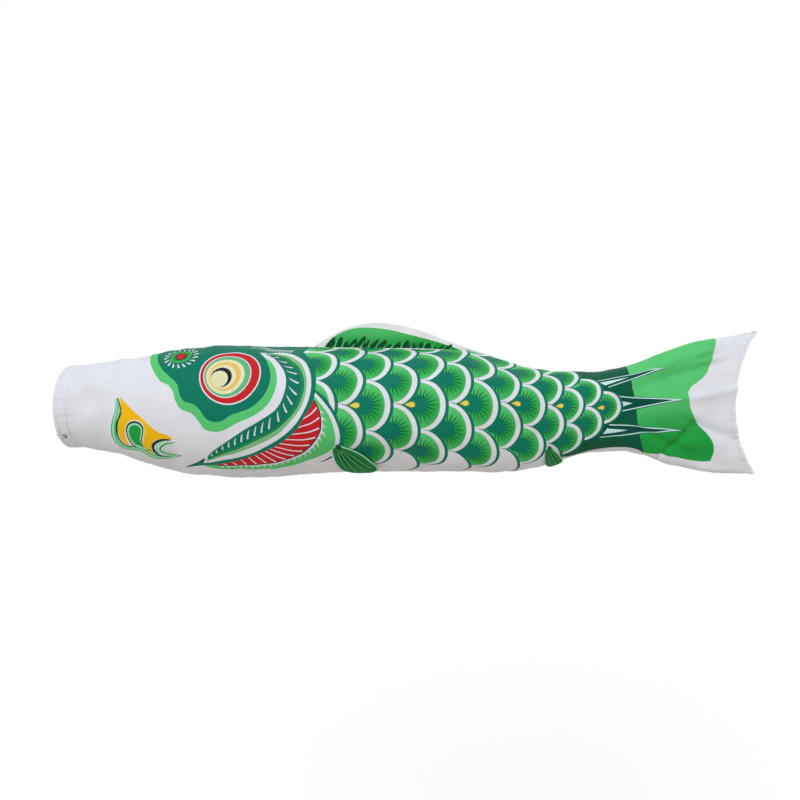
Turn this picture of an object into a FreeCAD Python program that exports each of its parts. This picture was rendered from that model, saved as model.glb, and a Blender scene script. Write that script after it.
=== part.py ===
import FreeCAD, Part
import math
import os

# A carp streamer: a fish-shaped windsock of two printed cloth sides, held open at the mouth by a wire
# hoop inside a folded hem, and open at the tail.
# Frame: millimetres, +Z up, origin at the centre of the mouth rim, +X from mouth to tail.
# The fish's left side is -Y.

Vector = FreeCAD.Vector
AXIS_X = Vector(1, 0, 0)
CLOTH = 0.5          # cloth thickness of the sides
GAP = 0.3            # clearance between pieces of different lengths of the tube

# Outer form of the wind-filled tube: distance from the mouth, height of the back, height of the
# belly, and half of the width. The section at each place is an ellipse.
STATIONS = [
    (0, 59, -59, 59),
    (40, 61.5, -60.5, 61),
    (80, 67.5, -68, 67),
    (120, 74.5, -81, 77),
    (160, 81.5, -92, 87),
    (200, 87, -99, 93),
    (250, 89, -103.5, 96),
    (300, 88, -102.5, 95.5),
    (360, 87, -98.5, 93),
    (430, 86, -96, 91),
    (510, 85, -95.5, 89),
    (570, 81.5, -95.5, 87),
    (620, 71, -95, 81),
    (660, 59, -90, 73),
    (700, 51.5, -80.5, 63),
    (740, 50.3, -70, 55),
    (780, 52, -65, 49),
    (820, 60, -66.5, 44),
    (860, 76, -77, 39),
    (900, 91, -89.5, 34),
    (940, 100.5, -96.5, 29),
    (980, 107.5, -98.5, 25),
    (1010, 112, -99, 22),
]
BACK, BELLY, HALF_WIDTH = 1, 2, 3    # columns of STATIONS

# Lengths of the tube: each stiff length keeps its form, each bending length lies over a joint
HEM_END = 19
LENGTHS = [
    ("neck", HEM_END, 150),
    ("head", 150, 240),
    ("gill", 240, 340),
    ("trunk", 340, 622),
    ("loin", 622, 674),
    ("hip", 674, 745),
    ("stalk", 745, 835),
    ("tail_root", 835, 870),
    ("tail_web", 870, 930),
    ("tail_end", 930, 1010),
]
SECTION_STEP = 16    # greatest distance between the sections of one length

# Mouth: hoop, joiner, hem and rim ties
RIM_RADIUS = 59
HOOP_WIRE = 1.5
JOINER_OUTER = 2.1
JOINER_INNER = 1.52
JOINER_LENGTH = 24
FOLD_OUTER = 2.8
FOLD_INNER = FOLD_OUTER - CLOTH
HOOP_RADIUS = RIM_RADIUS - FOLD_OUTER
HOOP_GAP = 0.4
HEM_END_RADIUS = 60.2
HEM_JOIN = 16        # from here to its end the hem's two layers lie together
HEM_TIP = 15.3       # back of the channel that the hoop lies in
HOLE_RADIUS = 2
HOLE_X = 11
HOLE_BELOW = 44      # degrees below the horizontal
TIE_RADIUS = 0.9
# Rim tie, as distance from the mouth and from the mouth's axis: out of the hole, over the rim, inside
TIE_ROUTE = [(HOLE_X, 61.2), (-1.4, 60.4), (-1.4, 51.8), (3.4, 51.8), (HOLE_X, 55.2)]

# Tail end: the concave edge, as distance from the mouth and height
TAIL_TIP_UPPER = (1000, 110)
TAIL_NOTCH = (960, -14)
TAIL_TIP_LOWER = (995, -98)
TAIL_HEM_WIDTH = 7
TAIL_HEM_PROUD = 0.25

# Fins
FIN_CLOTH = 0.6
FIN_LIFT = 1.2       # the hanging fins lie this far off the sides
SEAM_CLEARANCE = 5   # the hanging fins stay this far from the belly seam
DORSAL_LIFT = 1.5
DORSAL_START = 356
DORSAL_END = 616
DORSAL_BASE_STEP = 26
DORSAL_EDGE = [(389, 108), (417, 118), (453, 121.7), (502, 113), (538, 100), (576, 86)]
PECTORAL_EDGE = [(388, -56), (394, -50), (402, -51), (425, -64), (449, -84), (441, -92),
                 (420, -94.5), (402, -92), (391, -78)]
PELVIC_EDGE = [(681, -57), (685, -53), (690, -54), (709, -68), (709, -74), (698, -79), (686, -76)]


def profile(x, column):
    """Smooth curve through one column of STATIONS, with slopes taken from the neighbours."""
    last = len(STATIONS) - 1
    i = max(k for k in range(last) if STATIONS[k][0] <= x)
    x0, x1 = STATIONS[i][0], STATIONS[i + 1][0]
    y0, y1 = STATIONS[i][column], STATIONS[i + 1][column]

    def slope(k):
        low, high = max(k - 1, 0), min(k + 1, last)
        rise = STATIONS[high][column] - STATIONS[low][column]
        return rise / (STATIONS[high][0] - STATIONS[low][0])

    span = x1 - x0
    t = (x - x0) / span
    from_start = (1 + 2 * t) * (1 - t) ** 2 * y0 + t * (1 - t) ** 2 * span * slope(i)
    from_end = t ** 2 * (3 - 2 * t) * y1 + t ** 2 * (t - 1) * span * slope(i + 1)
    return from_start + from_end


def half_arc(x, inset):
    """Left half of the section at x, from the back to the belly, inset from the outer form."""
    back, belly = profile(x, BACK), profile(x, BELLY)
    middle = (back + belly) / 2
    tall = (back - belly) / 2 - inset
    wide = profile(x, HALF_WIDTH) - inset
    round_arc = Part.Arc(Vector(0, 0, 1), Vector(0, -1, 0), Vector(0, 0, -1)).toBSpline()
    for k, pole in enumerate(round_arc.getPoles()):
        round_arc.setPole(k + 1, Vector(x, pole.y * wide, middle + pole.z * tall))
    return round_arc.toShape(), Vector(x, 0, middle + tall), Vector(x, 0, middle - tall)


def half_section(x, outer_inset, inner_inset):
    """Closed wire round the left side's cloth at x."""
    outer, outer_top, outer_bottom = half_arc(x, outer_inset)
    inner, inner_top, inner_bottom = half_arc(x, inner_inset)
    bottom = Part.LineSegment(outer_bottom, inner_bottom).toShape()
    top = Part.LineSegment(inner_top, outer_top).toShape()
    return Part.Wire([outer, bottom, inner.reversed(), top])


def side_shell(start, end, outer_inset=0.0, inner_inset=CLOTH):
    """Left side's cloth between two distances from the mouth."""
    count = max(3, math.ceil((end - start) / SECTION_STEP) + 1)
    places = [start + (end - start) * k / (count - 1) for k in range(count)]
    wires = [half_section(x, outer_inset, inner_inset) for x in places]
    return Part.makeLoft(wires, True, False)


def prism(outline, start_y, depth):
    """Solid with the given outline edges in the XZ plane, drawn out along Y from start_y."""
    face = Part.Face(Part.Wire(outline))
    face.translate(Vector(0, start_y, 0))
    return face.extrude(Vector(0, depth, 0))


def tail_edge(inset):
    """Arc of the concave tail edge, moved towards the mouth by inset."""
    upper = Vector(TAIL_TIP_UPPER[0] - inset, 0, TAIL_TIP_UPPER[1])
    notch = Vector(TAIL_NOTCH[0] - inset, 0, TAIL_NOTCH[1])
    lower = Vector(TAIL_TIP_LOWER[0] - inset, 0, TAIL_TIP_LOWER[1])
    return Part.Arc(upper, notch, lower)


def behind_tail_edge(inset):
    """Block that takes away everything behind the tail edge."""
    reach = 60
    edge = tail_edge(inset)
    upper, lower = edge.StartPoint, edge.EndPoint
    over = Vector(upper.x + reach / 10, 0, upper.z + reach)
    under = Vector(lower.x, 0, lower.z - reach)
    far_under = Vector(upper.x + reach, 0, under.z)
    far_over = Vector(upper.x + reach, 0, over.z)
    corners = [lower, under, far_under, far_over, over, upper]
    sides = [Part.LineSegment(a, b).toShape() for a, b in zip(corners, corners[1:])]
    return prism([edge.toShape()] + sides, -reach, 2 * reach)


def side_panels():
    """The ten lengths of the left side's cloth, by name."""
    panels = {}
    for name, start, end in LENGTHS:
        panels[f"{name}_panel"] = side_shell(start + GAP / 2, end - GAP / 2)
    panels["tail_end_panel"] = panels["tail_end_panel"].cut(behind_tail_edge(TAIL_HEM_WIDTH))
    return panels


def tail_hem():
    """Doubled cloth along the left side's tail edge."""
    start, end = LENGTHS[-1][1:]
    band = side_shell(start + GAP / 2, end - GAP / 2, -TAIL_HEM_PROUD, 2 * CLOTH - TAIL_HEM_PROUD)
    return band.cut(behind_tail_edge(0)).common(behind_tail_edge(TAIL_HEM_WIDTH))


def revolved(face):
    """Ring made by turning a face in the XZ plane round the X axis."""
    return face.revolve(Vector(0, 0, 0), AXIS_X, 360)


def fold_outline(radius, end_points):
    """Outline of the hem's fold: an arc round the wire, closed by the given points behind it."""
    top = Vector(FOLD_OUTER, 0, HOOP_RADIUS + radius)
    front = Vector(FOLD_OUTER - radius, 0, HOOP_RADIUS)
    bottom = Vector(FOLD_OUTER, 0, HOOP_RADIUS - radius)
    edges = [Part.Arc(top, front, bottom).toShape()]
    corners = [bottom] + [Vector(x, 0, z) for x, z in end_points] + [top]
    edges += [Part.LineSegment(a, b).toShape() for a, b in zip(corners, corners[1:])]
    return Part.Face(Part.Wire(edges))


def bridle_hole(side):
    """Direction of one bridle hole from the mouth's axis."""
    below = math.radians(HOLE_BELOW)
    return Vector(0, side * math.cos(below), -math.sin(below))


def mouth_hem():
    """Band folded over the hoop, with its channel and the two bridle holes."""
    inside = HEM_END_RADIUS - 2 * CLOTH
    ends = [(HEM_JOIN, inside), (HEM_END, inside), (HEM_END, HEM_END_RADIUS)]
    channel_tip = [(HEM_TIP, HEM_END_RADIUS - CLOTH - GAP)]
    band = revolved(fold_outline(FOLD_OUTER, ends)).cut(revolved(fold_outline(FOLD_INNER, channel_tip)))
    for side in (-1, 1):
        outward = bridle_hole(side)
        start = outward * (HOOP_RADIUS - 3 * FOLD_OUTER) + Vector(HOLE_X, 0, 0)
        band = band.cut(Part.makeCylinder(HOLE_RADIUS, 6 * FOLD_OUTER, start, outward))
    return band


def ring_segment(radius, start_degrees, sweep_degrees):
    """Solid round bar along part of the hoop's circle; 0 degrees is at the top."""
    circle = Part.Circle(Vector(FOLD_OUTER, 0, HOOP_RADIUS), Vector(0, 1, 0), radius)
    face = Part.Face(Part.Wire(circle.toShape()))
    face.rotate(Vector(0, 0, 0), AXIS_X, start_degrees)
    return face.revolve(Vector(0, 0, 0), AXIS_X, sweep_degrees)


def mouth_hoop():
    """Wire ring with its two ends meeting at the top."""
    gap = math.degrees(HOOP_GAP / HOOP_RADIUS)
    return ring_segment(HOOP_WIRE, gap / 2, 360 - gap)


def hoop_joiner():
    """Sleeve over the two wire ends at the top of the hoop."""
    sweep = math.degrees(JOINER_LENGTH / HOOP_RADIUS)
    outer = ring_segment(JOINER_OUTER, -sweep / 2, sweep)
    return outer.cut(ring_segment(JOINER_INNER, -sweep / 2 - 1, sweep + 2))


def rim_tie():
    """Cord loop out through the left bridle hole, over the rim and back inside the mouth."""
    outward = bridle_hole(-1)
    corners = [Vector(x, 0, 0) + outward * radius for x, radius in TIE_ROUTE]
    solids = []
    for a, b in zip(corners, corners[1:] + corners[:1]):
        solids.append(Part.makeCylinder(TIE_RADIUS, (b - a).Length, a, b - a))
        solids.append(Part.makeSphere(TIE_RADIUS, a))
    return solids[0].multiFuse(solids[1:])


def closed_curve(points):
    """Closed smooth curve through points of the XZ plane."""
    curve = Part.BSplineCurve()
    curve.interpolate(Points=[Vector(x, 0, z) for x, z in points], PeriodicFlag=True)
    return curve.toShape()


def hanging_fin(edge):
    """Flap of the given outline that lies just off the left side of the tube."""
    start = min(x for x, z in edge) - SECTION_STEP
    end = max(x for x, z in edge) + SECTION_STEP
    cloth = side_shell(start, end, -FIN_LIFT - FIN_CLOTH, -FIN_LIFT)
    return cloth.common(prism([closed_curve(edge)], -SEAM_CLEARANCE, -2 * profile(start, HALF_WIDTH)))


def dorsal_fin():
    """Flat two-layer fin that stands on the back seam."""
    count = round((DORSAL_END - DORSAL_START) / DORSAL_BASE_STEP)
    places = [DORSAL_START + (DORSAL_END - DORSAL_START) * k / count for k in range(count + 1)]
    base = [Vector(x, 0, profile(x, BACK) + DORSAL_LIFT) for x in places]
    top = [base[0]] + [Vector(x, 0, z) for x, z in DORSAL_EDGE] + [base[-1]]
    outline = []
    for points in (base, top[::-1]):
        curve = Part.BSplineCurve()
        curve.interpolate(Points=points)
        outline.append(curve.toShape())
    return prism(outline, -FIN_CLOTH / 2, FIN_CLOTH)


def save(shape, name):
    """Write one piece as a STEP file."""
    shape.exportStep(f"parts/{name}.step")
    print(name, "valid" if shape.isValid() else "NOT VALID", len(shape.Solids), round(shape.Volume, 1))


os.makedirs("parts", exist_ok=True)
save(mouth_hoop(), "mouth_hoop")
save(hoop_joiner(), "hoop_joiner")
save(mouth_hem(), "mouth_hem")
save(dorsal_fin(), "dorsal_fin")
left_pieces = {
    "rim_tie": rim_tie(),
    "tail_hem": tail_hem(),
    "pectoral_fin": hanging_fin(PECTORAL_EDGE),
    "pelvic_fin": hanging_fin(PELVIC_EDGE),
}
left_pieces.update(side_panels())
for name, shape in left_pieces.items():
    save(shape, f"{name}_left")
    save(shape.mirror(Vector(0, 0, 0), Vector(0, 1, 0)), f"{name}_right")
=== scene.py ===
import math
import bpy
import numpy as np
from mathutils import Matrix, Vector, kdtree, noise
from mathutils.geometry import delaunay_2d_cdt


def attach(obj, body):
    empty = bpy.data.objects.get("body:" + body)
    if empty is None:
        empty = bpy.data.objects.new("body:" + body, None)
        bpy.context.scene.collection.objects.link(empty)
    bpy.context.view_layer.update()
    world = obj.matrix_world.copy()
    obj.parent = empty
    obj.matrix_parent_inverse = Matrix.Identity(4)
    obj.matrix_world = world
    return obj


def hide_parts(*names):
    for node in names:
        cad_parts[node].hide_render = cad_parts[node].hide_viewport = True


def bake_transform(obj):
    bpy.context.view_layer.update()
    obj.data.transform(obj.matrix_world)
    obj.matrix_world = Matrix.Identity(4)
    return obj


# The carp streamer's looks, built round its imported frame.
# Outlines are in millimetres, and the pieces are made in metres. An outline on the fish gives the
# distance from the mouth and the height, as seen from the side. Flat cloth is measured along the fish
# and round it, from the widest line of its side: that second number is positive towards the back.

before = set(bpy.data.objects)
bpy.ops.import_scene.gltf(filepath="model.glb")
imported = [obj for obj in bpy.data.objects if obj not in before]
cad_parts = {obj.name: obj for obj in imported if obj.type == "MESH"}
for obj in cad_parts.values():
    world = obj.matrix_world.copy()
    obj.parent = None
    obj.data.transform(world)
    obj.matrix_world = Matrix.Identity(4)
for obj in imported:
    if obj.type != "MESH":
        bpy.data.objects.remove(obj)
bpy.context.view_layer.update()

MM = 0.001
LEFT, RIGHT = -1, 1
SIDES = {"left": LEFT, "right": RIGHT}

# Outer form of the wind-filled tube, as in the CAD: distance from the mouth, height of the back,
# height of the belly, half of the width
STATIONS = np.array([
    (0, 59, -59, 59),
    (40, 61.5, -60.5, 61),
    (80, 67.5, -68, 67),
    (120, 74.5, -81, 77),
    (160, 81.5, -92, 87),
    (200, 87, -99, 93),
    (250, 89, -103.5, 96),
    (300, 88, -102.5, 95.5),
    (360, 87, -98.5, 93),
    (430, 86, -96, 91),
    (510, 85, -95.5, 89),
    (570, 81.5, -95.5, 87),
    (620, 71, -95, 81),
    (660, 59, -90, 73),
    (700, 51.5, -80.5, 63),
    (740, 50.3, -70, 55),
    (780, 52, -65, 49),
    (820, 60, -66.5, 44),
    (860, 76, -77, 39),
    (900, 91, -89.5, 34),
    (940, 100.5, -96.5, 29),
    (980, 107.5, -98.5, 25),
    (1010, 112, -99, 22),
], float)
STATION_X, BACK, BELLY, HALF_WIDTH = STATIONS.T

# Lengths of the side cloth: name, start, end, the two bodies it joins, where it bends between them,
# and the CAD panels it stands for
LENGTHS = [
    ("snout", 19, 195, "mouth", "head", (20, 150), ("neck_panel", "head_panel")),
    ("gill", 195, 480, "head", "trunk", (240, 340), ("gill_panel", "trunk_panel")),
    ("loin", 480, 715, "trunk", "hip", (622, 674), ("loin_panel", "hip_panel")),
    ("stalk", 715, 852, "hip", "tail_root", (745, 835), ("stalk_panel", "tail_root_panel")),
    ("tail", 852, 1010, "tail_root", "tail_end", (870, 930), ("tail_web_panel", "tail_end_panel")),
]

CLOTH = 0.35            # thickness of the printed cloth
SEAM_ALLOWANCE = 6      # cloth turned inside along the back and the belly
HEM_END = 19
HOOP_X = 2.8
HOOP_RADIUS = 56.2
FOLD_RADIUS = 2.8
TAIL_TIP_UPPER = (1000, 110)
TAIL_NOTCH = (960, -14)
TAIL_TIP_LOWER = (995, -98)
TAIL_HEM_WIDTH = 7
TAIL_CLOTH_END = 1000   # the side cloths are laid out to here
SEAM_CLEARANCE = 0.4    # between each side's cloth and the middle plane
FAR = 200               # beyond the edge of the cloth
FLAT_UNIT = 100         # of the flat coordinates that the materials read


# ---------------------------------------------------------------- form of the tube

def profile(x, column):
    """Smooth curve through one column of the stations, at every x."""
    x = np.asarray(x, float)
    last = len(STATION_X) - 1
    i = np.clip(np.searchsorted(STATION_X, x, side="right") - 1, 0, last - 1)
    low = np.maximum(np.arange(last + 1) - 1, 0)
    high = np.minimum(np.arange(last + 1) + 1, last)
    slope = (column[high] - column[low]) / (STATION_X[high] - STATION_X[low])
    span = STATION_X[i + 1] - STATION_X[i]
    t = (x - STATION_X[i]) / span
    from_start = (1 + 2 * t) * (1 - t) ** 2 * column[i] + t * (1 - t) ** 2 * span * slope[i]
    from_end = t ** 2 * (3 - 2 * t) * column[i + 1] + t ** 2 * (t - 1) * span * slope[i + 1]
    return from_start + from_end


def section(x):
    """Middle height, half height and half width of the section at x."""
    back, belly = profile(x, BACK), profile(x, BELLY)
    return (back + belly) / 2, (back - belly) / 2, profile(x, HALF_WIDTH)


def stretch(x, turn):
    """Distance moved round the section for each radian of turn."""
    middle, tall, wide = section(x)
    return np.hypot(tall * np.cos(turn), wide * np.sin(turn))


def girth(x, turn):
    """Distance round the cloth from the widest line to the angle turn."""
    nodes, weights = np.polynomial.legendre.leggauss(12)
    x, turn = np.broadcast_arrays(np.asarray(x, float), np.asarray(turn, float))
    total = np.zeros(x.shape)
    for node, weight in zip(nodes, weights):
        total += weight * stretch(x, turn * (node + 1) / 2)
    return turn / 2 * total


def quarter(x):
    """Distance round the cloth from the widest line to the back seam or the belly seam."""
    return girth(x, math.pi / 2)


def turn_at(x, w):
    """Angle round the section at the flat distance w from the widest line."""
    turn = w / quarter(x) * math.pi / 2
    for _ in range(4):
        turn = turn - (girth(x, turn) - w) / stretch(x, turn)
    return turn


def flat(points):
    """Flat places of points that are given as seen from the side."""
    x, z = np.asarray(points, float).T
    middle, tall, wide = section(x)
    turn = np.arcsin(np.clip((z - middle) / tall, -1, 1))
    return np.column_stack([x, girth(x, turn)])


def on_form(x, turn, side, lift):
    """Points in metres, lifted off the form. turn is from the widest line, positive to the back."""
    middle, tall, wide = section(x)
    y, z = wide * np.cos(turn), middle + tall * np.sin(turn)
    normal_y, normal_z = tall * np.cos(turn), wide * np.sin(turn)
    size = np.hypot(normal_y, normal_z)
    y = y + lift * normal_y / size
    z = z + lift * normal_z / size
    return np.column_stack([x, side * y, z]) * MM


def tail_edge(z):
    """Distance from the mouth of the tail's concave edge, at each height."""
    a, b, c = (np.array(p, float) for p in (TAIL_TIP_UPPER, TAIL_NOTCH, TAIL_TIP_LOWER))
    rows = np.array([b - a, c - b]) * 2
    right = np.array([b @ b - a @ a, c @ c - b @ b])
    centre = np.linalg.solve(rows, right)
    radius = math.dist(centre, a)
    return centre[0] - np.sqrt(radius ** 2 - (z - centre[1]) ** 2)


def tail_edge_x(turn, inset):
    """Distance from the mouth of the tail edge at each angle, less the inset."""
    x = np.full(np.shape(turn), float(TAIL_NOTCH[0]))
    for _ in range(6):
        middle, tall, wide = section(x)
        x = tail_edge(middle + tall * np.sin(turn))
    return x - inset


# ---------------------------------------------------------------- folds and puckers

def wander(a, b, seed):
    """Smooth random value, between about -1 and 1, for each pair of coordinates."""
    pairs = zip(np.ravel(a).tolist(), np.ravel(b).tolist())
    values = [noise.noise(Vector((p, q, seed))) for p, q in pairs]
    return np.array(values).reshape(np.shape(a))


def ramp(value, start, end):
    """Smooth step from 0 at start to 1 at end."""
    t = np.clip((value - start) / (end - start), 0, 1)
    return t * t * (3 - 2 * t)


SETTLE_STEP = 8         # between rows of the cloth that is simulated
SETTLE_COLUMNS = 24     # on each side
SETTLE_FRAMES = 16
SETTLE_CAP = 4.0        # no place moves further than this off the form
SETTLE_PRESSURE = 1.2
SETTLE_SLACK = 0.022    # how much larger the cloth is than the form
SETTLE_MEAN_TAKEN = 0.85    # share of each long line's average movement that is taken out again
SETTLED = {}            # per side: how far the settled cloth stands off the form


def settle_cloth():
    """Blow up a slack tube of cloth, held at its mouth and its seams, and keep how it comes to rest."""
    rows = np.arange(HEM_END, TAIL_CLOTH_END + 1, SETTLE_STEP).astype(float)
    share = np.linspace(-1, 1, SETTLE_COLUMNS + 1)
    x, shares = np.meshgrid(rows, share, indexing="ij")
    turns = turn_at(x, shares * quarter(x))
    around = 2 * SETTLE_COLUMNS
    start = np.zeros((len(rows), around, 3))
    outward = np.zeros((len(rows), around, 3))
    for side, columns in ((LEFT, range(SETTLE_COLUMNS + 1)),
                          (RIGHT, [-j % around for j in range(SETTLE_COLUMNS + 1)])):
        for j, column in enumerate(columns):
            start[:, column] = on_form(rows, turns[:, j], side, 0.0)
            raised = on_form(rows, turns[:, j], side, 1.0)
            outward[:, column] = (raised - start[:, column]) / MM
    faces = []
    for i in range(len(rows) - 1):
        for j in range(around):
            n = (j + 1) % around
            faces.append((i * around + j, i * around + n, (i + 1) * around + n, (i + 1) * around + j))
    obj = mesh_object("settling_cloth", start.reshape(-1, 3), faces, [])
    held = obj.vertex_groups.new(name="held")
    seams = [i * around + j for i in range(len(rows)) for j in (0, SETTLE_COLUMNS)]
    held.add(seams + list(range(around)), 1.0, "REPLACE")
    cloth = obj.modifiers.new("cloth", "CLOTH")
    cloth.settings.quality = 6
    cloth.settings.mass = 0.08
    cloth.settings.tension_stiffness = 12
    cloth.settings.compression_stiffness = 12
    cloth.settings.shear_stiffness = 4
    cloth.settings.bending_stiffness = 0.02
    cloth.settings.shrink_min = -SETTLE_SLACK
    cloth.settings.use_pressure = True
    cloth.settings.uniform_pressure_force = SETTLE_PRESSURE
    cloth.settings.vertex_group_mass = "held"
    cloth.settings.effector_weights.gravity = 0
    scene = bpy.context.scene
    for frame_number in range(1, SETTLE_FRAMES + 1):
        scene.frame_set(frame_number)
    shown = obj.evaluated_get(bpy.context.evaluated_depsgraph_get())
    rest = np.array([tuple(v.co) for v in shown.data.vertices]).reshape(start.shape)
    moved = ((rest - start) * outward).sum(axis=2) / MM
    moved -= SETTLE_MEAN_TAKEN * moved.mean(axis=0)
    moved = SETTLE_CAP * np.tanh(moved / SETTLE_CAP)
    SETTLED[LEFT] = moved[:, :SETTLE_COLUMNS + 1]
    SETTLED[RIGHT] = moved[:, [-j % around for j in range(SETTLE_COLUMNS + 1)]]
    scene.frame_set(1)
    bpy.data.objects.remove(obj)


def settled(x, w, side):
    """How far the settled cloth stands off the form, as a smooth surface over its rows."""
    if side not in SETTLED:
        return 0.0
    grid = SETTLED[side]
    row = np.clip((x - HEM_END) / SETTLE_STEP, 0, grid.shape[0] - 1.001)
    column = np.clip((w / quarter(x) + 1) / 2, 0, 0.9999) * (grid.shape[1] - 1)
    i, j = row.astype(int), column.astype(int)
    total = np.zeros(np.shape(x))
    for p, along_weight in enumerate(spline_weights(row - i)):
        for q, across_weight in enumerate(spline_weights(column - j)):
            a = np.clip(i + p - 1, 0, grid.shape[0] - 1)
            b = np.clip(j + q - 1, 0, grid.shape[1] - 1)
            total += along_weight * across_weight * grid[a, b]
    return total * ramp(x, HEM_END, HEM_END + 30)


def spline_weights(t):
    """Weights of four neighbours in a smooth cubic curve."""
    return ((1 - t) ** 3 / 6, (3 * t ** 3 - 6 * t ** 2 + 4) / 6,
            (-3 * t ** 3 + 3 * t ** 2 + 3 * t + 1) / 6, t ** 3 / 6)


# Long folds of the tail: start and end as seen from the side, width, height
FOLD_DEPTH = {LEFT: 2.4, RIGHT: 1.6}    # the folds' heights are multiplied by this
TAIL_FOLDS = [
    ((812, 40), (935, 84), 5, 2.6),
    ((790, 22), (930, 62), 4, -1.8),
    ((835, 45), (950, 74), 3, 1.6),
    ((800, -20), (905, -60), 6, 2.1),
    ((845, -70), (905, -22), 5, -2.6),
    ((790, -40), (880, -86), 4, 1.6),
    ((850, 5), (985, 30), 7, 1.8),
    ((850, -8), (975, -52), 6, -1.6),
]


def fold(x, w, start, end, width, height):
    """Rounded fold along a line, fading at both ends."""
    (x0, w0), (x1, w1) = flat([start, end])
    along = ((x - x0) * (x1 - x0) + (w - w0) * (w1 - w0)) / ((x1 - x0) ** 2 + (w1 - w0) ** 2)
    across = ((x - x0) * (w1 - w0) - (w - w0) * (x1 - x0)) / math.hypot(x1 - x0, w1 - w0)
    spread = width * (0.6 + 0.8 * np.clip(along, 0, 1))
    fade = ramp(along, -0.1, 0.35) * (1 - ramp(along, 0.8, 1.15))
    return height * fade * np.exp(-(across / spread) ** 2)


def relief(x, w, side):
    """How far the cloth stands off the smooth form: dents, folds and puckers."""
    seed = 3.7 if side == LEFT else 8.1
    total = 0.9 * wander(x / 60, w / 48, seed) + 0.45 * wander(x / 21, w / 17, seed + 1)
    total = total + settled(x, w, side)
    # gathers behind the mouth hem
    total += 1.2 * np.exp(-np.abs(x - HEM_END) / 14) * wander(x / 50, w / 5.2, seed + 2)
    # seam puckers and the groove of the back and belly seams
    from_seam = quarter(x) - np.abs(w)
    edge = np.exp(-np.maximum(from_seam, 0) / 7)
    total += 1.1 * edge * wander(x / 5, np.sign(w) * 3 + from_seam / 30, seed + 3)
    total -= 1.0 * np.exp(-np.maximum(from_seam, 0) / 1.8)
    # the open tail is slack: broad waves, long folds and puckers along its hem
    slack = ramp(x, 800, 960)
    total += 2.2 * slack * wander(x / 90, w / 26, seed + 4)
    for start, end, width, height in TAIL_FOLDS:
        total += fold(x, w, start, end, width, height) * FOLD_DEPTH[side]
    to_edge = tail_edge_x(turn_at(x, np.clip(w, -quarter(x), quarter(x))), 0) - x
    total += 1.7 * np.exp(-np.maximum(to_edge, 0) / 15) * wander(x / 40, w / 5.5, seed + 5)
    return total


def cloth_place(points, side, lift=0.0):
    """Points in metres of flat places on one side, with the seam allowances turned inside."""
    x, w = points.T
    limit = quarter(x)
    held = np.clip(w, -limit, limit)
    placed = on_form(x, turn_at(x, held), side, relief(x, held, side) + lift)
    over = np.abs(w) - limit
    turned_in = over > 0
    placed[turned_in, 2] -= (np.sign(w) * over * MM)[turned_in]
    placed[:, 1] = side * np.maximum(side * placed[:, 1], SEAM_CLEARANCE * MM)
    return placed


# ---------------------------------------------------------------- outlines

def smooth(points, closed=False, step=2.5):
    """Smooth curve through the points."""
    points = np.asarray(points, float)
    count = len(points)
    made = []
    for i in range(count if closed else count - 1):
        if closed:
            before, a, b, after = (points[(i + k) % count] for k in (-1, 0, 1, 2))
        else:
            before, a, b, after = (points[min(max(i + k, 0), count - 1)] for k in (-1, 0, 1, 2))
        pieces = max(2, round(math.dist(a, b) / step))
        for t in np.arange(pieces) / pieces:
            leave, arrive = (b - before) / 2, (after - a) / 2
            made.append((1 + 2 * t) * (1 - t) ** 2 * a + t * (1 - t) ** 2 * leave
                        + t * t * (3 - 2 * t) * b + t * t * (t - 1) * arrive)
    if not closed:
        made.append(points[-1])
    return np.array(made)


def straight(points, step=4.0):
    """Straight runs through the points, divided into short steps."""
    made = []
    for a, b in zip(points, points[1:]):
        pieces = max(1, round(math.dist(a, b) / step))
        for t in np.arange(pieces) / pieces:
            made.append((a[0] + (b[0] - a[0]) * t, a[1] + (b[1] - a[1]) * t))
    made.append(tuple(points[-1]))
    return np.array(made, float)


def ellipse(centre, wide, tall, step=2.5, start=0, end=360):
    """Arc of an ellipse; a whole one is closed."""
    sweep = end - start
    count = max(12, round(math.radians(sweep) * (wide + tall) / 2 / step))
    whole = sweep == 360
    angles = np.radians(start + sweep * np.arange(count + (0 if whole else 1)) / count)
    return np.column_stack([centre[0] + wide * np.cos(angles), centre[1] + tall * np.sin(angles)])


def distances(path):
    """Distance along the path to each of its points."""
    return np.concatenate([[0], np.cumsum(np.linalg.norm(np.diff(path, axis=0), axis=1))])


def along(curve, share):
    """Point at a share of the curve's length."""
    reached = distances(curve)
    return np.array([np.interp(share * reached[-1], reached, curve[:, k]) for k in (0, 1)])


def crossing(start, direction, curve):
    """Point of the curve that lies in a direction from the start."""
    away = curve - start
    return curve[int(np.argmax((away @ direction) / np.linalg.norm(away, axis=1)))]


def normals(curve):
    """Unit vectors to the left of the curve at each of its points."""
    run = np.gradient(curve, axis=0)
    run /= np.linalg.norm(run, axis=1)[:, None]
    return np.column_stack([-run[:, 1], run[:, 0]])


def stroke(curve, start_width, end_width=None, middle_width=None):
    """Closed outline of a line drawn along the curve, with its widths at the start and end."""
    curve = np.asarray(curve, float)
    end_width = start_width if end_width is None else end_width
    t = np.linspace(0, 1, len(curve))
    width = start_width + (end_width - start_width) * t
    if middle_width is not None:
        width = width + (middle_width - (start_width + end_width) / 2) * 4 * t * (1 - t)
    offset = normals(curve) * (width / 2)[:, None]
    return np.vstack([curve + offset, (curve - offset)[::-1]])


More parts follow.
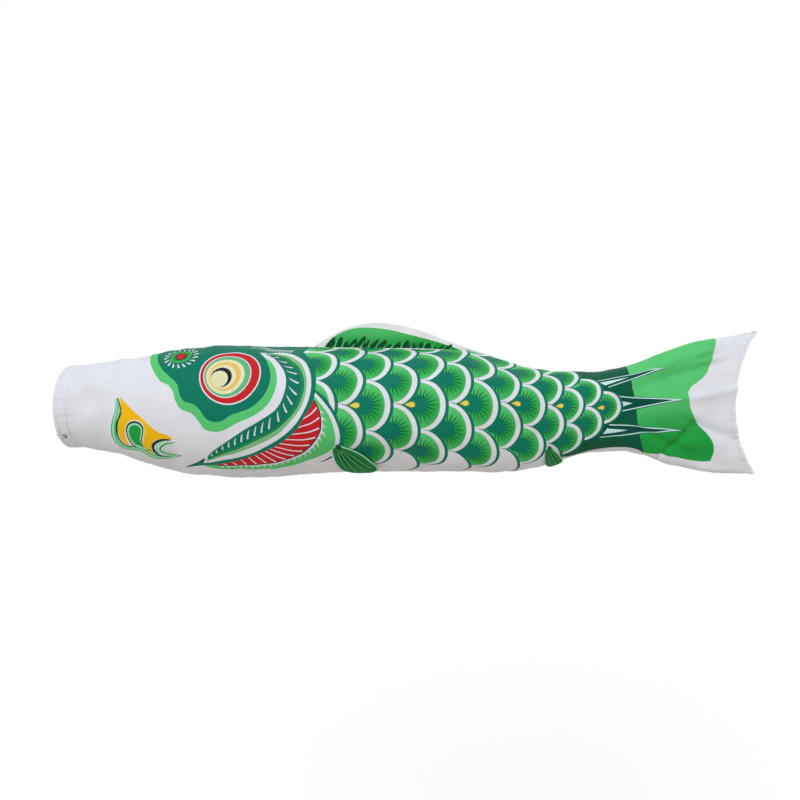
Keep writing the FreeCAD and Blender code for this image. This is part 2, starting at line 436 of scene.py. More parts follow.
def pointed(centre, half_length, half_width, tilt=0.0):
    """Closed almond outline with two pointed ends, turned by tilt degrees."""
    t = np.linspace(-1, 1, 9)
    upper = np.column_stack([t * half_length, (1 - t ** 2) * half_width])
    shape = np.vstack([upper, (upper * (1, -1))[-2:0:-1]])
    c, s = math.cos(math.radians(tilt)), math.sin(math.radians(tilt))
    return shape @ np.array([[c, s], [-s, c]]) + centre


def to_back(curve):
    """Closed flat outline of everything between a curve and the back seam."""
    first, last = curve[0], curve[-1]
    return np.vstack([curve, [(last[0], FAR), (first[0], FAR)]])


def inside(points, outline):
    """Which points lie inside the closed outline."""
    found = np.zeros(len(points), bool)
    low, high = outline.min(0), outline.max(0)
    near = np.flatnonzero(((points >= low) & (points <= high)).all(1))
    if len(near) == 0:
        return found
    x, y = points[near, 0, None], points[near, 1, None]
    x0, y0 = outline.T
    x1, y1 = np.roll(outline, -1, axis=0).T
    with np.errstate(divide="ignore", invalid="ignore"):
        reach = (x1 - x0) * (y - y0) / (y1 - y0) + x0
    crossed = ((y0 > y) != (y1 > y)) & (x < reach)
    found[near] = crossed.sum(1) % 2 == 1
    return found


# ---------------------------------------------------------------- dyes

def linear(red, green, blue):
    """Linear colour of an sRGB one."""
    values = np.array([red, green, blue]) / 255
    return np.where(values <= 0.04045, values / 12.92, ((values + 0.055) / 1.055) ** 2.4)


DYES = {
    "cloth": linear(233, 236, 245),
    "mask": linear(0, 124, 100),
    "deep": linear(0, 92, 66),
    "line": linear(0, 78, 66),
    "ink": linear(12, 52, 62),
    "leaf": linear(92, 208, 122),
    "mint": linear(160, 234, 196),
    "green": linear(30, 164, 68),
    "sage": linear(132, 196, 140),
    "gill_green": linear(24, 140, 84),
    "eye_green": linear(104, 190, 132),
    "red": linear(206, 34, 42),
    "yellow": linear(252, 196, 12),
    "cream": linear(236, 236, 190),
    "gold": linear(240, 200, 110),
    "drop": linear(236, 220, 92),
    "navy": linear(26, 32, 52),
    "olive": linear(110, 120, 30),
    "ice": linear(206, 243, 243),
    # the cloth's white made lighter for the fin: painted light that makes up for the fin's dimmer lighting
    "fin_lit_white": linear(250, 252, 255),
    # painted shade round the bridle holes of the hem
    "hole_shade": linear(92, 70, 62),
    "fin": linear(20, 134, 66),
    "fin_dark": linear(2, 84, 46),
    "fin_light": linear(84, 188, 104),
}


def dye(paint, points):
    """Colour of a paint at each point. A paint is a dye's name or a function of the points."""
    if callable(paint):
        return paint(points)
    return np.tile(DYES[paint], (len(points), 1))


def shaded(first, second, centre, inner, outer):
    """Paint that goes from one dye to another with the distance from a centre."""
    def paint(points):
        away = np.linalg.norm(points - centre, axis=1)
        t = ramp(away, inner, outer)[:, None]
        return DYES[first] * (1 - t) + DYES[second] * t
    return paint


# ---------------------------------------------------------------- printed cloth as a mesh

class Print:
    """Areas printed on a flat cloth, each over the ones before it."""

    def __init__(self, ground):
        self.ground = ground
        self.areas = []

    def add(self, outline, paint):
        outline = np.asarray(outline, float)
        divided = straight(np.vstack([outline, outline[:1]]))[:-1]
        self.areas.append((divided, paint))

    def edges(self):
        """Starts and ends of the areas' edges that no later area covers."""
        if not self.areas:
            return np.zeros((0, 2)), np.zeros((0, 2))
        starts = np.vstack([outline for outline, paint in self.areas])
        ends = np.vstack([np.roll(outline, -1, axis=0) for outline, paint in self.areas])
        order = np.concatenate([np.full(len(a[0]), k) for k, a in enumerate(self.areas)])
        hidden = np.zeros(len(starts), bool)
        for k, (outline, paint) in enumerate(self.areas):
            earlier = np.flatnonzero((order < k) & ~hidden)
            a, b = starts[earlier], ends[earlier]
            covered = inside(a, outline) & inside(b, outline) & inside((a + b) / 2, outline)
            hidden[earlier[covered]] = True
        return starts[~hidden], ends[~hidden]

    def colours(self, points, triangles):
        """Colour of each corner of each triangle."""
        corners = points[triangles]
        centres = corners.mean(axis=1)
        top = np.full(len(triangles), -1)
        for k, (outline, paint) in enumerate(self.areas):
            top[inside(centres, outline)] = k
        made = np.zeros((len(triangles), 3, 3))
        for k in np.unique(top):
            mine = top == k
            paint = self.ground if k < 0 else self.areas[k][1]
            made[mine] = dye(paint, corners[mine].reshape(-1, 2)).reshape(-1, 3, 3)
        return made


def lattice(low, high, step):
    """Points of an even triangle grid that fills a box."""
    rows = []
    height = step * 0.87
    for k in range(int((high[1] - low[1]) / height) + 1):
        shift = step / 2 * (k % 2)
        across = np.arange(low[0] + shift, high[0], step)
        rows.append(np.column_stack([across, np.full(len(across), low[1] + k * height)]))
    return np.vstack(rows)


def triangulate(borders, edges, grid, clear=1.3):
    """Points and triangles inside the first border and outside the others, keeping every edge."""
    starts, ends = edges
    starts = np.vstack([starts] + borders)
    ends = np.vstack([ends] + [np.roll(border, -1, axis=0) for border in borders])
    corners, index = np.unique(np.round(np.vstack([starts, ends]), 2), axis=0, return_inverse=True)
    index = np.ravel(index)
    pairs = np.column_stack([index[:len(starts)], index[len(starts):]])
    pairs = pairs[pairs[:, 0] != pairs[:, 1]]
    tree = kdtree.KDTree(len(corners))
    for k, (x, y) in enumerate(corners.tolist()):
        tree.insert((x, y, 0), k)
    tree.balance()
    free = [p for p in grid.tolist() if tree.find((p[0], p[1], 0))[2] > clear]
    flat_points = [Vector(p) for p in corners.tolist() + free]
    result = delaunay_2d_cdt(flat_points, pairs.tolist(), [], 0, 0.004, False)
    points = np.array([tuple(p) for p in result[0]])
    triangles = np.array([face for face in result[2] if len(face) == 3])
    centres = points[triangles].mean(axis=1)
    kept = inside(centres, borders[0])
    for hole in borders[1:]:
        kept &= ~inside(centres, hole)
    return points, triangles[kept]


def finished(obj):
    """Apply the object's modifiers to its mesh."""
    bpy.context.view_layer.update()
    shown = obj.evaluated_get(bpy.context.evaluated_depsgraph_get())
    mesh = bpy.data.meshes.new_from_object(shown)
    obj.modifiers.clear()
    obj.data = mesh
    return obj


def mesh_object(name, vertices, faces, materials):
    """Smooth mesh object in the scene."""
    mesh = bpy.data.meshes.new(name)
    mesh.from_pydata([tuple(v) for v in vertices], [], [tuple(f) for f in faces])
    mesh.polygons.foreach_set("use_smooth", [True] * len(mesh.polygons))
    for material in materials:
        mesh.materials.append(material)
    obj = bpy.data.objects.new(name, mesh)
    bpy.context.scene.collection.objects.link(obj)
    return obj


def cloth_object(name, points, triangles, colours, place, flip, thickness, materials, offset=-1.0):
    """Thin closed cloth: an outer face at the placed points and an inner one behind it."""
    used, local = np.unique(triangles, return_inverse=True)
    faces = local.reshape(-1, 3)
    flat_points = points[used]
    if flip:
        faces = faces[:, ::-1]
        colours = colours[:, ::-1]
    obj = mesh_object(name, place(flat_points), faces.tolist(), materials)
    mesh = obj.data
    dress(mesh, flat_points[faces.reshape(-1)], colours.reshape(-1, 3))
    mark_border_sharp(mesh)
    solid = obj.modifiers.new("cloth", "SOLIDIFY")
    solid.thickness = thickness * MM
    solid.offset = offset
    solid.material_offset = 1
    return finished(obj)


def dress(mesh, places, colours):
    """Give each corner of the mesh its flat place and its printed colour."""
    uv = mesh.uv_layers.new(name="flat")
    uv.data.foreach_set("uv", (places / FLAT_UNIT).astype(np.float32).ravel())
    rgba = np.concatenate([colours, np.ones((len(places), 1))], axis=1)
    layer = mesh.color_attributes.new("print", "FLOAT_COLOR", "CORNER")
    layer.data.foreach_set("color", rgba.astype(np.float32).ravel())


def mark_border_sharp(mesh):
    """Keep the shading of a cloth's faces apart from its cut edges."""
    uses = np.zeros(len(mesh.edges), int)
    loop_edges = np.zeros(len(mesh.loops), np.int32)
    mesh.loops.foreach_get("edge_index", loop_edges)
    np.add.at(uses, loop_edges, 1)
    sharp = mesh.attributes.new("sharp_edge", "BOOLEAN", "EDGE")
    sharp.data.foreach_set("value", (uses == 1).tolist())


def directions(path, closed):
    """Unit vectors along the path at each of its points."""
    if closed:
        run = np.roll(path, -1, axis=0) - np.roll(path, 1, axis=0)
    else:
        run = np.gradient(path, axis=0)
    return run / np.linalg.norm(run, axis=1)[:, None]


def tube(path, radius, sides=8, closed=False):
    """Vertices and faces of a round bar along a path. radius may be one number or one per point."""
    path = np.asarray(path, float)
    count = len(path)
    radii = np.broadcast_to(np.asarray(radius, float), (count,))
    run = directions(path, closed)
    across = np.cross(run[0], (0.31, 0.86, 0.41))
    vertices = []
    for centre, direction, size in zip(path, run, radii):
        across = across - direction * (across @ direction)
        across /= np.linalg.norm(across)
        other = np.cross(direction, across)
        for angle in np.arange(sides) * 2 * math.pi / sides:
            vertices.append(centre + size * (math.cos(angle) * across + math.sin(angle) * other))
    faces = []
    for i in range(count if closed else count - 1):
        here, there = i * sides, (i + 1) % count * sides
        for k in range(sides):
            n = (k + 1) % sides
            faces.append((here + k, here + n, there + n, there + k))
    if not closed:
        faces.append(tuple(range(sides))[::-1])
        faces.append(tuple((count - 1) * sides + k for k in range(sides)))
    return vertices, faces


def joined(parts):
    """One list of vertices and one of faces from several."""
    vertices, faces = [], []
    for some_vertices, some_faces in parts:
        start = len(vertices)
        vertices.extend(some_vertices)
        faces.extend(tuple(start + k for k in face) for face in some_faces)
    return vertices, faces


# ---------------------------------------------------------------- materials

class Nodes:
    """Short way to build a node tree."""

    def __init__(self, tree, kind):
        self.tree = tree
        self.tree.nodes.clear()
        self.output = self.tree.nodes.new("ShaderNodeOutput" + kind)

    def node(self, kind, inputs=None, **settings):
        """New node. Each of its inputs is given a value, or the output that feeds it."""
        made = self.tree.nodes.new("ShaderNode" + kind)
        for key, value in settings.items():
            setattr(made, key, value)
        for key, value in (inputs or {}).items():
            if isinstance(value, bpy.types.NodeSocket):
                self.tree.links.new(value, made.inputs[key])
            else:
                made.inputs[key].default_value = value
        return made

    def texture(self, coordinates, scale, detail=2):
        """Noise over the surface."""
        inputs = {"Scale": scale, "Detail": detail, "Vector": coordinates}
        return self.node("TexNoise", inputs).outputs["Fac"]

    def spread(self, value, low, high, **reach):
        """The value, brought between two others."""
        inputs = {"To Min": low, "To Max": high, "Value": value}
        if reach:
            inputs.update({"From Min": reach["start"], "From Max": reach["end"]})
        return self.node("MapRange", inputs).outputs["Result"]

    def tones(self, value, dark, light, start=0.0, end=1.0):
        """Colour that goes from a dark one to a light one with the value."""
        made = self.node("ValToRGB", {"Fac": value})
        low, high = made.color_ramp.elements
        low.color = (*dark, 1)
        high.color = (*light, 1)
        low.position = start
        high.position = end
        return made.outputs["Color"]

    def mixed(self, share, first, second):
        """Shader that is the second one for a share, and else the first."""
        return self.node("MixShader", {"Fac": share, 1: first.outputs[0], 2: second.outputs[0]})

    def seen_and_cast(self, seen, cast):
        """Shader that looks like one in the picture, and gives light to the rest like another."""
        return self.mixed(self.node("LightPath").outputs["Is Camera Ray"], cast, seen)

    def finish(self, shader):
        """Show this shader."""
        self.tree.links.new(shader.outputs[0], self.output.inputs["Surface"])


def new_material(name):
    """Empty material, and its nodes."""
    material = bpy.data.materials.new(name)
    material.use_nodes = True
    return material, Nodes(material.node_tree, "Material")


def woven_bump(nodes, coordinates, strength):
    """Bump of a plain weave: fine threads across each other, and slubs."""
    threads = []
    for direction in ("X", "Y"):
        inputs = {"Scale": 48, "Distortion": 0.4, "Detail": 0, "Vector": coordinates}
        wave = nodes.node("TexWave", inputs, wave_type="BANDS", bands_direction=direction)
        threads.append(wave.outputs["Fac"])
    weave = nodes.node("Math", {0: threads[0], 1: threads[1]}, operation="MULTIPLY")
    slubs = nodes.texture(coordinates, 22, 5)
    height = nodes.node("Math", {0: weave.outputs[0], 1: slubs}, operation="ADD")
    inputs = {"Strength": strength, "Distance": 0.0003, "Height": height.outputs[0]}
    return nodes.node("Bump", inputs).outputs["Normal"]


def mottled(nodes, colour, coordinates, amount, scale):
    """The colour with soft patches that are a little darker."""
    patches = nodes.spread(nodes.texture(coordinates, scale, 4), 1 - amount, 1.0, start=0.3, end=0.7)
    inputs = {"Factor": 1.0, "A": colour, "B": patches}
    return nodes.node("Mix", inputs, data_type="RGBA", blend_type="MULTIPLY").outputs["Result"]


def mixed_colour(nodes, colour, other, amount):
    """A colour with some of a fixed one in it."""
    inputs = {"Factor": amount, "A": colour, "B": (*other, 1)}
    return nodes.node("Mix", inputs, data_type="RGBA").outputs["Result"]


def fabric(name, paleness, see_through, weave=0.35):
    """Printed polyester: the print's colour, a fine weave, a slight sheen, some light through it."""
    material, nodes = new_material(name)
    coordinates = nodes.node("UVMap", uv_map="flat").outputs["UV"]
    printed = nodes.node("Attribute", attribute_name="print").outputs["Color"]
    if paleness:
        printed = mixed_colour(nodes, printed, DYES["cloth"], paleness)
    colour = mottled(nodes, printed, coordinates, 0.07, 3.2)
    shader = nodes.node("BsdfPrincipled", {
        "Sheen Weight": 0.04,
        "Sheen Roughness": 0.45,
        "Specular IOR Level": 0.12,
        "Roughness": nodes.spread(nodes.texture(coordinates, 9), 0.52, 0.74),
        "Base Color": colour,
        "Normal": woven_bump(nodes, coordinates, weave),
    })
    through = nodes.node("BsdfTranslucent", {"Color": colour})
    nodes.finish(nodes.mixed(see_through, shader, through))
    return material


def thread(name, colour, ply):
    """Twisted thread or cord: fibres that run round it, with painted shade that darkens the grooves between
    them.
    """
    material, nodes = new_material(name)
    fibres = nodes.texture(nodes.node("TexCoord").outputs["Object"], ply, 6)
    bump = nodes.node("Bump", {"Strength": 0.5, "Distance": 0.0002, "Height": fibres})
    nodes.finish(nodes.node("BsdfPrincipled", {
        "Roughness": 0.7,
        "Sheen Weight": 0.25,
        # painted shade: the colour is darker where the fibres' bump height is low, in the grooves
        "Base Color": nodes.tones(fibres, colour * 0.72, colour, 0.3, 0.62),
        "Normal": bump.outputs["Normal"],
    }))
    return material


def moulded(name, colour, roughness, grain):
    """Smooth plastic or a plastic coat, with faint scuffs in its colour and its gloss."""
    material, nodes = new_material(name)
    scuffs = nodes.texture(nodes.node("TexCoord").outputs["Object"], grain, 8)
    nodes.finish(nodes.node("BsdfPrincipled", {
        "Base Color": nodes.tones(scuffs, colour * 0.8, colour),
        "Roughness": nodes.spread(scuffs, roughness - 0.1, roughness + 0.12),
    }))
    return material


OUTSIDE = fabric("printed_polyester", 0.0, 0.10)
INSIDE = fabric("printed_polyester_reverse", 0.3, 0.10)
FIN_OUTSIDE = fabric("fin_polyester", 0.0, 0.16)
SEWING_THREAD = thread("sewing_thread", linear(226, 228, 232), 2600)
TIE_CORD = thread("white_cord", linear(224, 224, 220), 1500)
WIRE_COAT = moulded("white_wire_coat", linear(214, 214, 212), 0.4, 300)
SLEEVE = moulded("grey_sleeve", linear(170, 174, 178), 0.3, 220)


# ---------------------------------------------------------------- the print

# Eye, nostril and gill outlines of the fish's left side
MASK_EDGE = [(125, 76), (134, 58), (154, 35), (168, 28), (176, 19), (180, 8), (188, -3), (202, -8),
             (211, -17), (219, -28), (231, -32), (245, -30), (265, -20), (288, -10), (305, 4),
             (314, 24), (314, 41), (307, 56), (290, 69), (284, 78)]
MASK = [(137, 78), (139, 69), (153, 51), (179, 31), (184, 20), (191, 8), (206, 3), (214, -4), (222, -15),
        (232, -19), (243, -18), (257, -10), (280, -2), (296, 11), (305, 28), (305, 45), (297, 61),
        (286, 72), (270, 80)]
CRESCENT = [(287, 74), (305, 66), (319, 53), (327, 36), (325, 16), (315, -3), (293, -18), (270, -31),
            (246, -46), (227, -58), (210, -71), (184, -80)]
GILL_TEAL = [(302, 72), (315, 68), (327, 62), (338, 52), (346, 38), (347, 24), (344, 10), (336, -4),
             (324, -18), (307, -31), (284, -41), (262, -50), (239, -58), (218, -70)]
GILL_GREEN = [(299, 74), (314, 72), (328, 67), (341, 57), (349, 42), (352, 27), (349, 12), (342, -3),
              (329, -18), (313, -31), (289, -43), (263, -54), (239, -62), (216, -71)]
GILL_SAGE = [(296, 76), (314, 75), (330, 71), (344, 62), (352, 46), (355, 30), (353, 12), (346, -4),
             (333, -20), (317, -35), (294, -47), (265, -58), (238, -65), (214, -73)]
GILL_WHITE = [(290, 78), (311, 79), (329, 76), (347, 67), (357, 50), (361, 30), (359, 12), (352, -5),
              (340, -23), (323, -38), (301, -51), (276, -62), (243, -69), (211, -75)]
GILL_DARK = [(322, 90), (334, 86), (348, 77), (360, 62), (366, 43), (367, 23), (363, 4), (353, -12),
             (342, -29), (324, -44), (300, -57), (271, -67), (241, -74), (211, -78), (183, -81)]
COVER_DARK = [(350, 36), (362, 26), (370, 20), (381, 11), (392, -5), (401, -25), (405, -44), (402, -57)]
COVER_WHITE = [(352, 30), (365, 20), (378, 7), (390, -9), (398, -28), (399, -44), (393, -58), (381, -72),
               (362, -80), (336, -86), (308, -90)]
COVER_GREEN = [(362, 18), (376, 2), (386, -12), (392, -29), (393, -46), (386, -59), (372, -69),
               (350, -78), (329, -84), (306, -85), (279, -85), (253, -84), (228, -82), (209, -78)]
RED_OUTER = [(365, 9), (372, -5), (374, -19), (372, -32), (363, -46), (349, -59), (330, -68), (309, -73),
             (285, -76), (260, -77), (238, -77), (223, -75)]
CHEEK_STROKE = [(370, -80), (379, -76), (386, -71)]
HEAD_TOP = [(236, 70), (262, 71), (286, 73), (300, 76.5), (316, 79.5), (330, 80), (343, 80), (352, 90)]

EYE = [  # centre, radius, dye
    ((251, 42), 41.8, "cloth"),
    ((251, 42), 40.0, "red"),
    ((247.5, 42), 32.6, "cloth"),
    ((247.5, 42), 31.2, "eye_green"),
    ((245, 41), 26.2, "cream"),
    ((244.5, 41), 21.6, "gold"),
    ((242, 40), 17.6, "cream"),
    ((240, 39), 14.3, "navy"),
    ((237.5, 37), 11.6, "cream"),
]
NOSTRIL = (177, 67)

FLAME_TOP = [(99, 13), (104, 9), (117, -3), (133, -16), (145, -26), (155, -33), (166, -36), (176, -42)]
FLAME_UNDER = [(176, -42), (155, -42), (146, -45), (140, -55), (144, -67), (137, -64), (130, -58),
               (128, -50), (132, -40), (134, -30), (128, -18), (114, -18), (105, -29), (104, -43),
               (106, -51), (97, -46), (93, -32), (96, -18), (101, -7), (99, 13)]
FLAME_INK = [(96, 12), (101, -6), (93, -22), (91, -35), (94, -45), (101, -51), (114, -52)]
FLAME_BAND = [(94, 11), (96, -4), (91, -20), (87.5, -34), (89.5, -46), (98, -53), (112, -55.5), (122, -57)]
FLAME_HEM = [(112, -54), (123, -57), (136, -65), (153, -70), (170, -69), (182, -65)]
DROP_LEFT = [(106, -30), (107, -41), (111, -49), (117, -55)]
DROP_RIGHT = [(133, -30), (131, -38), (128, -45), (129, -53), (137, -63), (149, -69), (163, -71)]
DROP_TOP = (120, -30)
HOOK_INK = [(171, -43), (159, -43), (149, -46), (143, -52), (145, -61), (152, -67), (163, -69)]
HOOK_MINT = [(173, -45), (160, -46), (151, -50), (148, -55), (150, -60), (157, -65), (168, -68)]
HOOK_GREEN = [(177, -46.5), (163, -48.5), (154.5, -53), (153, -57), (159, -63), (169, -66), (180, -66)]
HOOK_INNER = [(176, -49), (165, -51), (159, -55), (158.5, -58), (163, -62), (172, -64)]

# Scales: the columns' distances from the mouth and half widths, for the even and the odd rows
EVEN_COLUMNS = [(358, 35), (432, 35), (506, 35), (578, 34), (647, 31), (705, 28), (763, 26)]
ODD_COLUMNS = [(395, 35), (469, 34.5), (542, 34), (612, 32), (676, 29), (734, 26)]
EVEN_ROWS = {358: (4, 2, 0), 763: (0,)}         # columns with fewer scales
ODD_ROWS = {395: (3, 1, -1), 734: (1, -1)}
ROW_STEP = 0.24         # height between rows, as a share of the flat half height
DROP_ROW = [  # distance from the mouth, height of the row with the yellow drops in the same share
    (432, 0.050), (506, 0.058), (578, 0.085), (612, 0.13), (647, 0.147), (676, 0.155), (705, 0.152),
    (734, 0.10), (763, 0.078)]
SCALE_TALL = 0.254      # half height of a scale
SCALE_SHIFT = 4.5       # how far a scale's dark edge stands out towards the tail

TAIL_DARK = [(811, 62), (805, 51), (806, 32), (809, 16), (812, -5), (814, -24), (818, -41), (828, -62)]
TAIL_BORDER = [(938, 102), (936, 92), (931, 81), (926, 65), (919, 50), (908, 39), (894, 29), (888, 18),
               (890, 4), (896, -12), (906, -27), (918, -39), (927, -52), (930, -66), (927, -80)]
TAIL_UNDER = [(927, -80), (913, -80), (896, -77), (875, -71), (856, -67), (837, -62), (820, -58),
              (799, -55), (773, -56), (749, -60), (720, -68)]
SPIKES = [  # two corners at the root, tip, the white wedge's reach along it
    ((756, 34), (772, 25), (856, 53), 0.5),
    ((786, 15), (789, -7), (880, 10), 0.24),
    ((772, -24), (759, -41), (882, -35), 0.34),
]


def scale(cloth, x, row, wide):
    """One printed scale: dark edge, white band, green field with dark rays round a disc."""
    height = float(quarter(x))
    share = 1 - 0.12 * (x - 432) / 330
    middle_row = np.interp(x, *np.array(DROP_ROW).T)
    centre = np.array([x, (middle_row + ROW_STEP * row) * height])
    tall = SCALE_TALL * height
    band = 6.6 * wide / 35
    cloth.add(ellipse(centre + (SCALE_SHIFT * share, 0), wide, tall), "mask")
    cloth.add(ellipse(centre, wide, tall), "cloth")
    if row <= -3:
        return
    cloth.add(ellipse(centre - (0.4, 0), wide - band, tall - 0.72 * band), "sage")
    inner_wide, inner_tall = wide - band - 1.1, tall - 0.72 * band - 0.9
    field = shaded("leaf", "green", centre + (inner_wide * 0.35, -inner_tall * 0.15), inner_wide * 1.25,
                   inner_wide * 0.2)
    cloth.add(ellipse(centre - (0.4, 0), inner_wide, inner_tall), field)
    disc = 0.345 * wide
    for k in range(13):
        angle = math.radians(-102 + 204 * k / 12)
        direction = np.array([math.cos(angle), math.sin(angle)])
        length = wide * (0.67 + 0.05 * math.sin(5.0 * k + x))
        ray = [centre + direction * disc * 0.9, centre + direction * (disc + length) / 2,
               centre + direction * length]
        cloth.add(stroke(ray, 1.7, 0.45, 1.15), "deep")
    tip = centre - (0.8 * wide, 0)
    onion = np.vstack([ellipse(centre, disc, disc, 2.0, -100, 100), smooth(
        [centre + (-disc * 0.17, disc * 0.98), centre + (-disc * 1.1, disc * 0.8), tip], step=3)[1:],
        smooth([tip, centre + (-disc * 1.1, -disc * 0.8), centre + (-disc * 0.17, -disc * 0.98)],
               step=3)[1:-1]])
    cloth.add(onion, "mask")
    if row == 0:
        lead = wide * (0.385 - 0.2 * float(ramp(x, 590, 765)))
        cloth.add(drop(centre - (lead, 0), 0.24 * wide, 0.13 * wide), "olive")
        cloth.add(drop(centre - (lead - 0.3, 0), 0.205 * wide, 0.1 * wide), "drop")


def drop(centre, long, tall):
    """Closed drop outline with its point towards the mouth."""
    head = ellipse((centre[0] + long * 0.35, centre[1]), long * 0.65, tall, 1.2, -110, 110)
    return np.vstack([head, [(centre[0] - long, centre[1])]])


def scales(cloth):
    """All scales, from the tail to the head, so that each lies over the ones behind it."""
    columns = [(x, wide, EVEN_ROWS.get(x, (4, 2, 0, -2))) for x, wide in EVEN_COLUMNS]
    columns += [(x, wide, ODD_ROWS.get(x, (3, 1, -1, -3))) for x, wide in ODD_COLUMNS]
    for x, wide, rows in sorted(columns, reverse=True):
        for row in rows:
            scale(cloth, x, row, wide)


def spike(a, b, tip, inset):
    """Corners of a spike whose long sides lie further in by the inset."""
    middle = (a + b) / 2
    half, long = math.dist(a, b) / 2, math.dist(middle, tip)
    side = math.hypot(half, long)
    kept = (half - inset * side / long) / half
    point = tip - (tip - middle) / long * inset * side / half
    return [middle + (a - middle) * kept, middle + (b - middle) * kept, point]


def tail_print(cloth):
    """Dark root, green field and white-edged spikes of the tail."""
    border = flat(smooth(TAIL_BORDER))
    under = flat(smooth(TAIL_UNDER))
    corner = [(720, FAR), (938, FAR)]

    def field(points):
        lower = ramp(points[:, 1], 25, -45)[:, None]
        return DYES["leaf"] * (1 - lower) + DYES["green"] * lower

    cloth.add(np.vstack([border, under[1:], corner]), field)
    dark = flat(smooth(TAIL_DARK))
    root_under = flat(smooth([p for p in TAIL_UNDER if p[0] < 822]))
    cloth.add(np.vstack([dark, root_under, [(690, -60), (690, FAR), (811, FAR)]]), "deep")
    for upper, lower, tip, reach in SPIKES:
        a, b, c = flat([upper, lower, tip])
        cloth.add([a + (a - b) * 0.07, b + (b - a) * 0.07, c + (c - a) * 0.04], "deep")
        cloth.add([a, b, c], "ice")
        a, b, c = spike(a, b, c, 1.5)
        cloth.add([a, b, c], "line")
        middle = (a + b) / 2
        wedge = [a + (middle - a) * 0.5, b + (middle - b) * 0.5, middle + (c - middle) * reach]
        cloth.add(wedge, "ice")


def gill_print(cloth):
    """Gill cover with its red gap, white feathers, and the gill plate with its dashes."""
    for outline, colour in ((COVER_DARK, "mask"), (COVER_WHITE, "cloth"), (COVER_GREEN, "leaf")):
        cloth.add(flat(smooth(outline)), colour)
    red = smooth(flat(RED_OUTER))
    cloth.add(stroke(red, 1.0, 1.0, 10.0), "cloth")
    for k in range(23):
        share = 0.08 + 0.85 * k / 22
        root = along(red, share)
        ahead = along(red, min(share + 0.02, 1)) - root
        ahead /= np.linalg.norm(ahead)
        outward = np.array([-ahead[1], ahead[0]])
        outward *= np.sign(outward @ np.array([1.0, -0.6]))
        lean = 0.65 * (1 - share) + 0.1
        length = 13.0 * math.sin(math.pi * share) ** 0.5 + 1.5 * math.sin(9 * k)
        tip = root + (outward + ahead * lean) * length
        bend = root + (outward + ahead * lean * 0.4) * length * 0.55
        base = ahead * 2.4
        feather = smooth([root - base, bend - ahead * 0.6, tip], step=3)
        cloth.add(np.vstack([feather, [bend + ahead * 1.4, root + base]]), "cloth")
    cloth.add(stroke(red, 2.2, 2.2, 3.4), "ink")
    cloth.add(red, "red")
    gap_edge = smooth([(366, 12)] + [p for p in GILL_DARK if 200 < p[0] and p[1] < 6])
    seen_red = smooth(RED_OUTER)
    for k in range(14):
        t = k / 13
        start = along(gap_edge, 0.16 + 0.69 * (t + 0.05 * math.sin(2 * math.pi * t)))
        end = along(seen_red, 0.05 + 0.85 * t)
        bow = (start + end) / 2 + np.array([1.0, -1.0]) * math.dist(start, end) * 0.05
        line = smooth([start + (start - end) * 0.1, bow, end + (start - end) * 0.04])
        cloth.add(stroke(flat(line), 1.0, 2.0), "cloth")
    for outline, colour in ((GILL_DARK, "mask"), (GILL_WHITE, "cloth"), (GILL_SAGE, "sage"),
                            (GILL_GREEN, "gill_green")):
        cloth.add(flat(smooth(outline)), colour)
    teal = smooth(flat(GILL_TEAL))
    cloth.add(teal, "mask")
    crescent = smooth(flat(CRESCENT))
    fine_teal = smooth(flat(GILL_TEAL), step=0.6)
    for k in range(22):
        share = 0.03 + 0.86 * k / 21
        inner = along(crescent, share)
        ahead = along(crescent, share + 0.02) - inner
        ahead /= np.linalg.norm(ahead)
        outward = np.array([-ahead[1], ahead[0]])
        outer = crossing(inner, outward * 0.74 + ahead * 0.67, fine_teal)
        start, end = inner + (outer - inner) * 0.2, inner + (outer - inner) * 0.84
        bow = (start + end) / 2 + ahead * 0.6
        cloth.add(stroke(smooth([start, bow, end]), 0.3, 2.3, 1.8), "cloth")
    white = np.vstack([crescent, flat([(150, -50), (210, 60)])])
    cloth.add(white, "cloth")
    cloth.add(stroke(flat(smooth([(183, -82), (196, -78), (214, -69)])), 0.8, 2.6), "ink")
    cloth.add(stroke(flat(smooth(CHEEK_STROKE)), 1.4, 3.0), "ink")


def head_print(cloth):
    """Dark mask with its light edge, eye and nostril."""
    cloth.add(to_back(flat(smooth(MASK_EDGE))), "leaf")
    cloth.add(to_back(flat(smooth(HEAD_TOP))), "mask")
    for k in range(12):
        foot = flat([(270 + 4.9 * k, 81.0 - 0.25 * k)])[0]
        cloth.add(stroke([foot, foot + (1.5, 6.5), foot + (4.5, 14.0)], 0.4, 2.4, 2.0), "cloth")
    cloth.add(to_back(flat(smooth(MASK))), "mask")
    for centre, radius, colour in EYE:
        cloth.add(ellipse(flat([centre])[0], radius, radius), colour)
    centre = flat([NOSTRIL])[0]
    for k in range(18):
        angle = 2 * math.pi * k / 18 + 0.1
        direction = np.array([math.cos(angle), math.sin(angle)])
        slant = np.array([math.cos(angle + 0.5), math.sin(angle + 0.5)])
        start = centre + direction * (17.5, 16.5)
        end = start + slant * (8.0, 8.0)
        cloth.add(stroke([start, (start + end) / 2, end], 0.6, 2.6, 2.2), "cloth")
    cloth.add(pointed(centre, 17.5, 14, 35), "leaf")
    cloth.add(pointed(centre, 16, 12.6, 35), "green")
    cloth.add(ellipse(centre, 8.6, 9.2), "ink")
    cloth.add(ellipse(centre, 6.6, 7.2), "red")


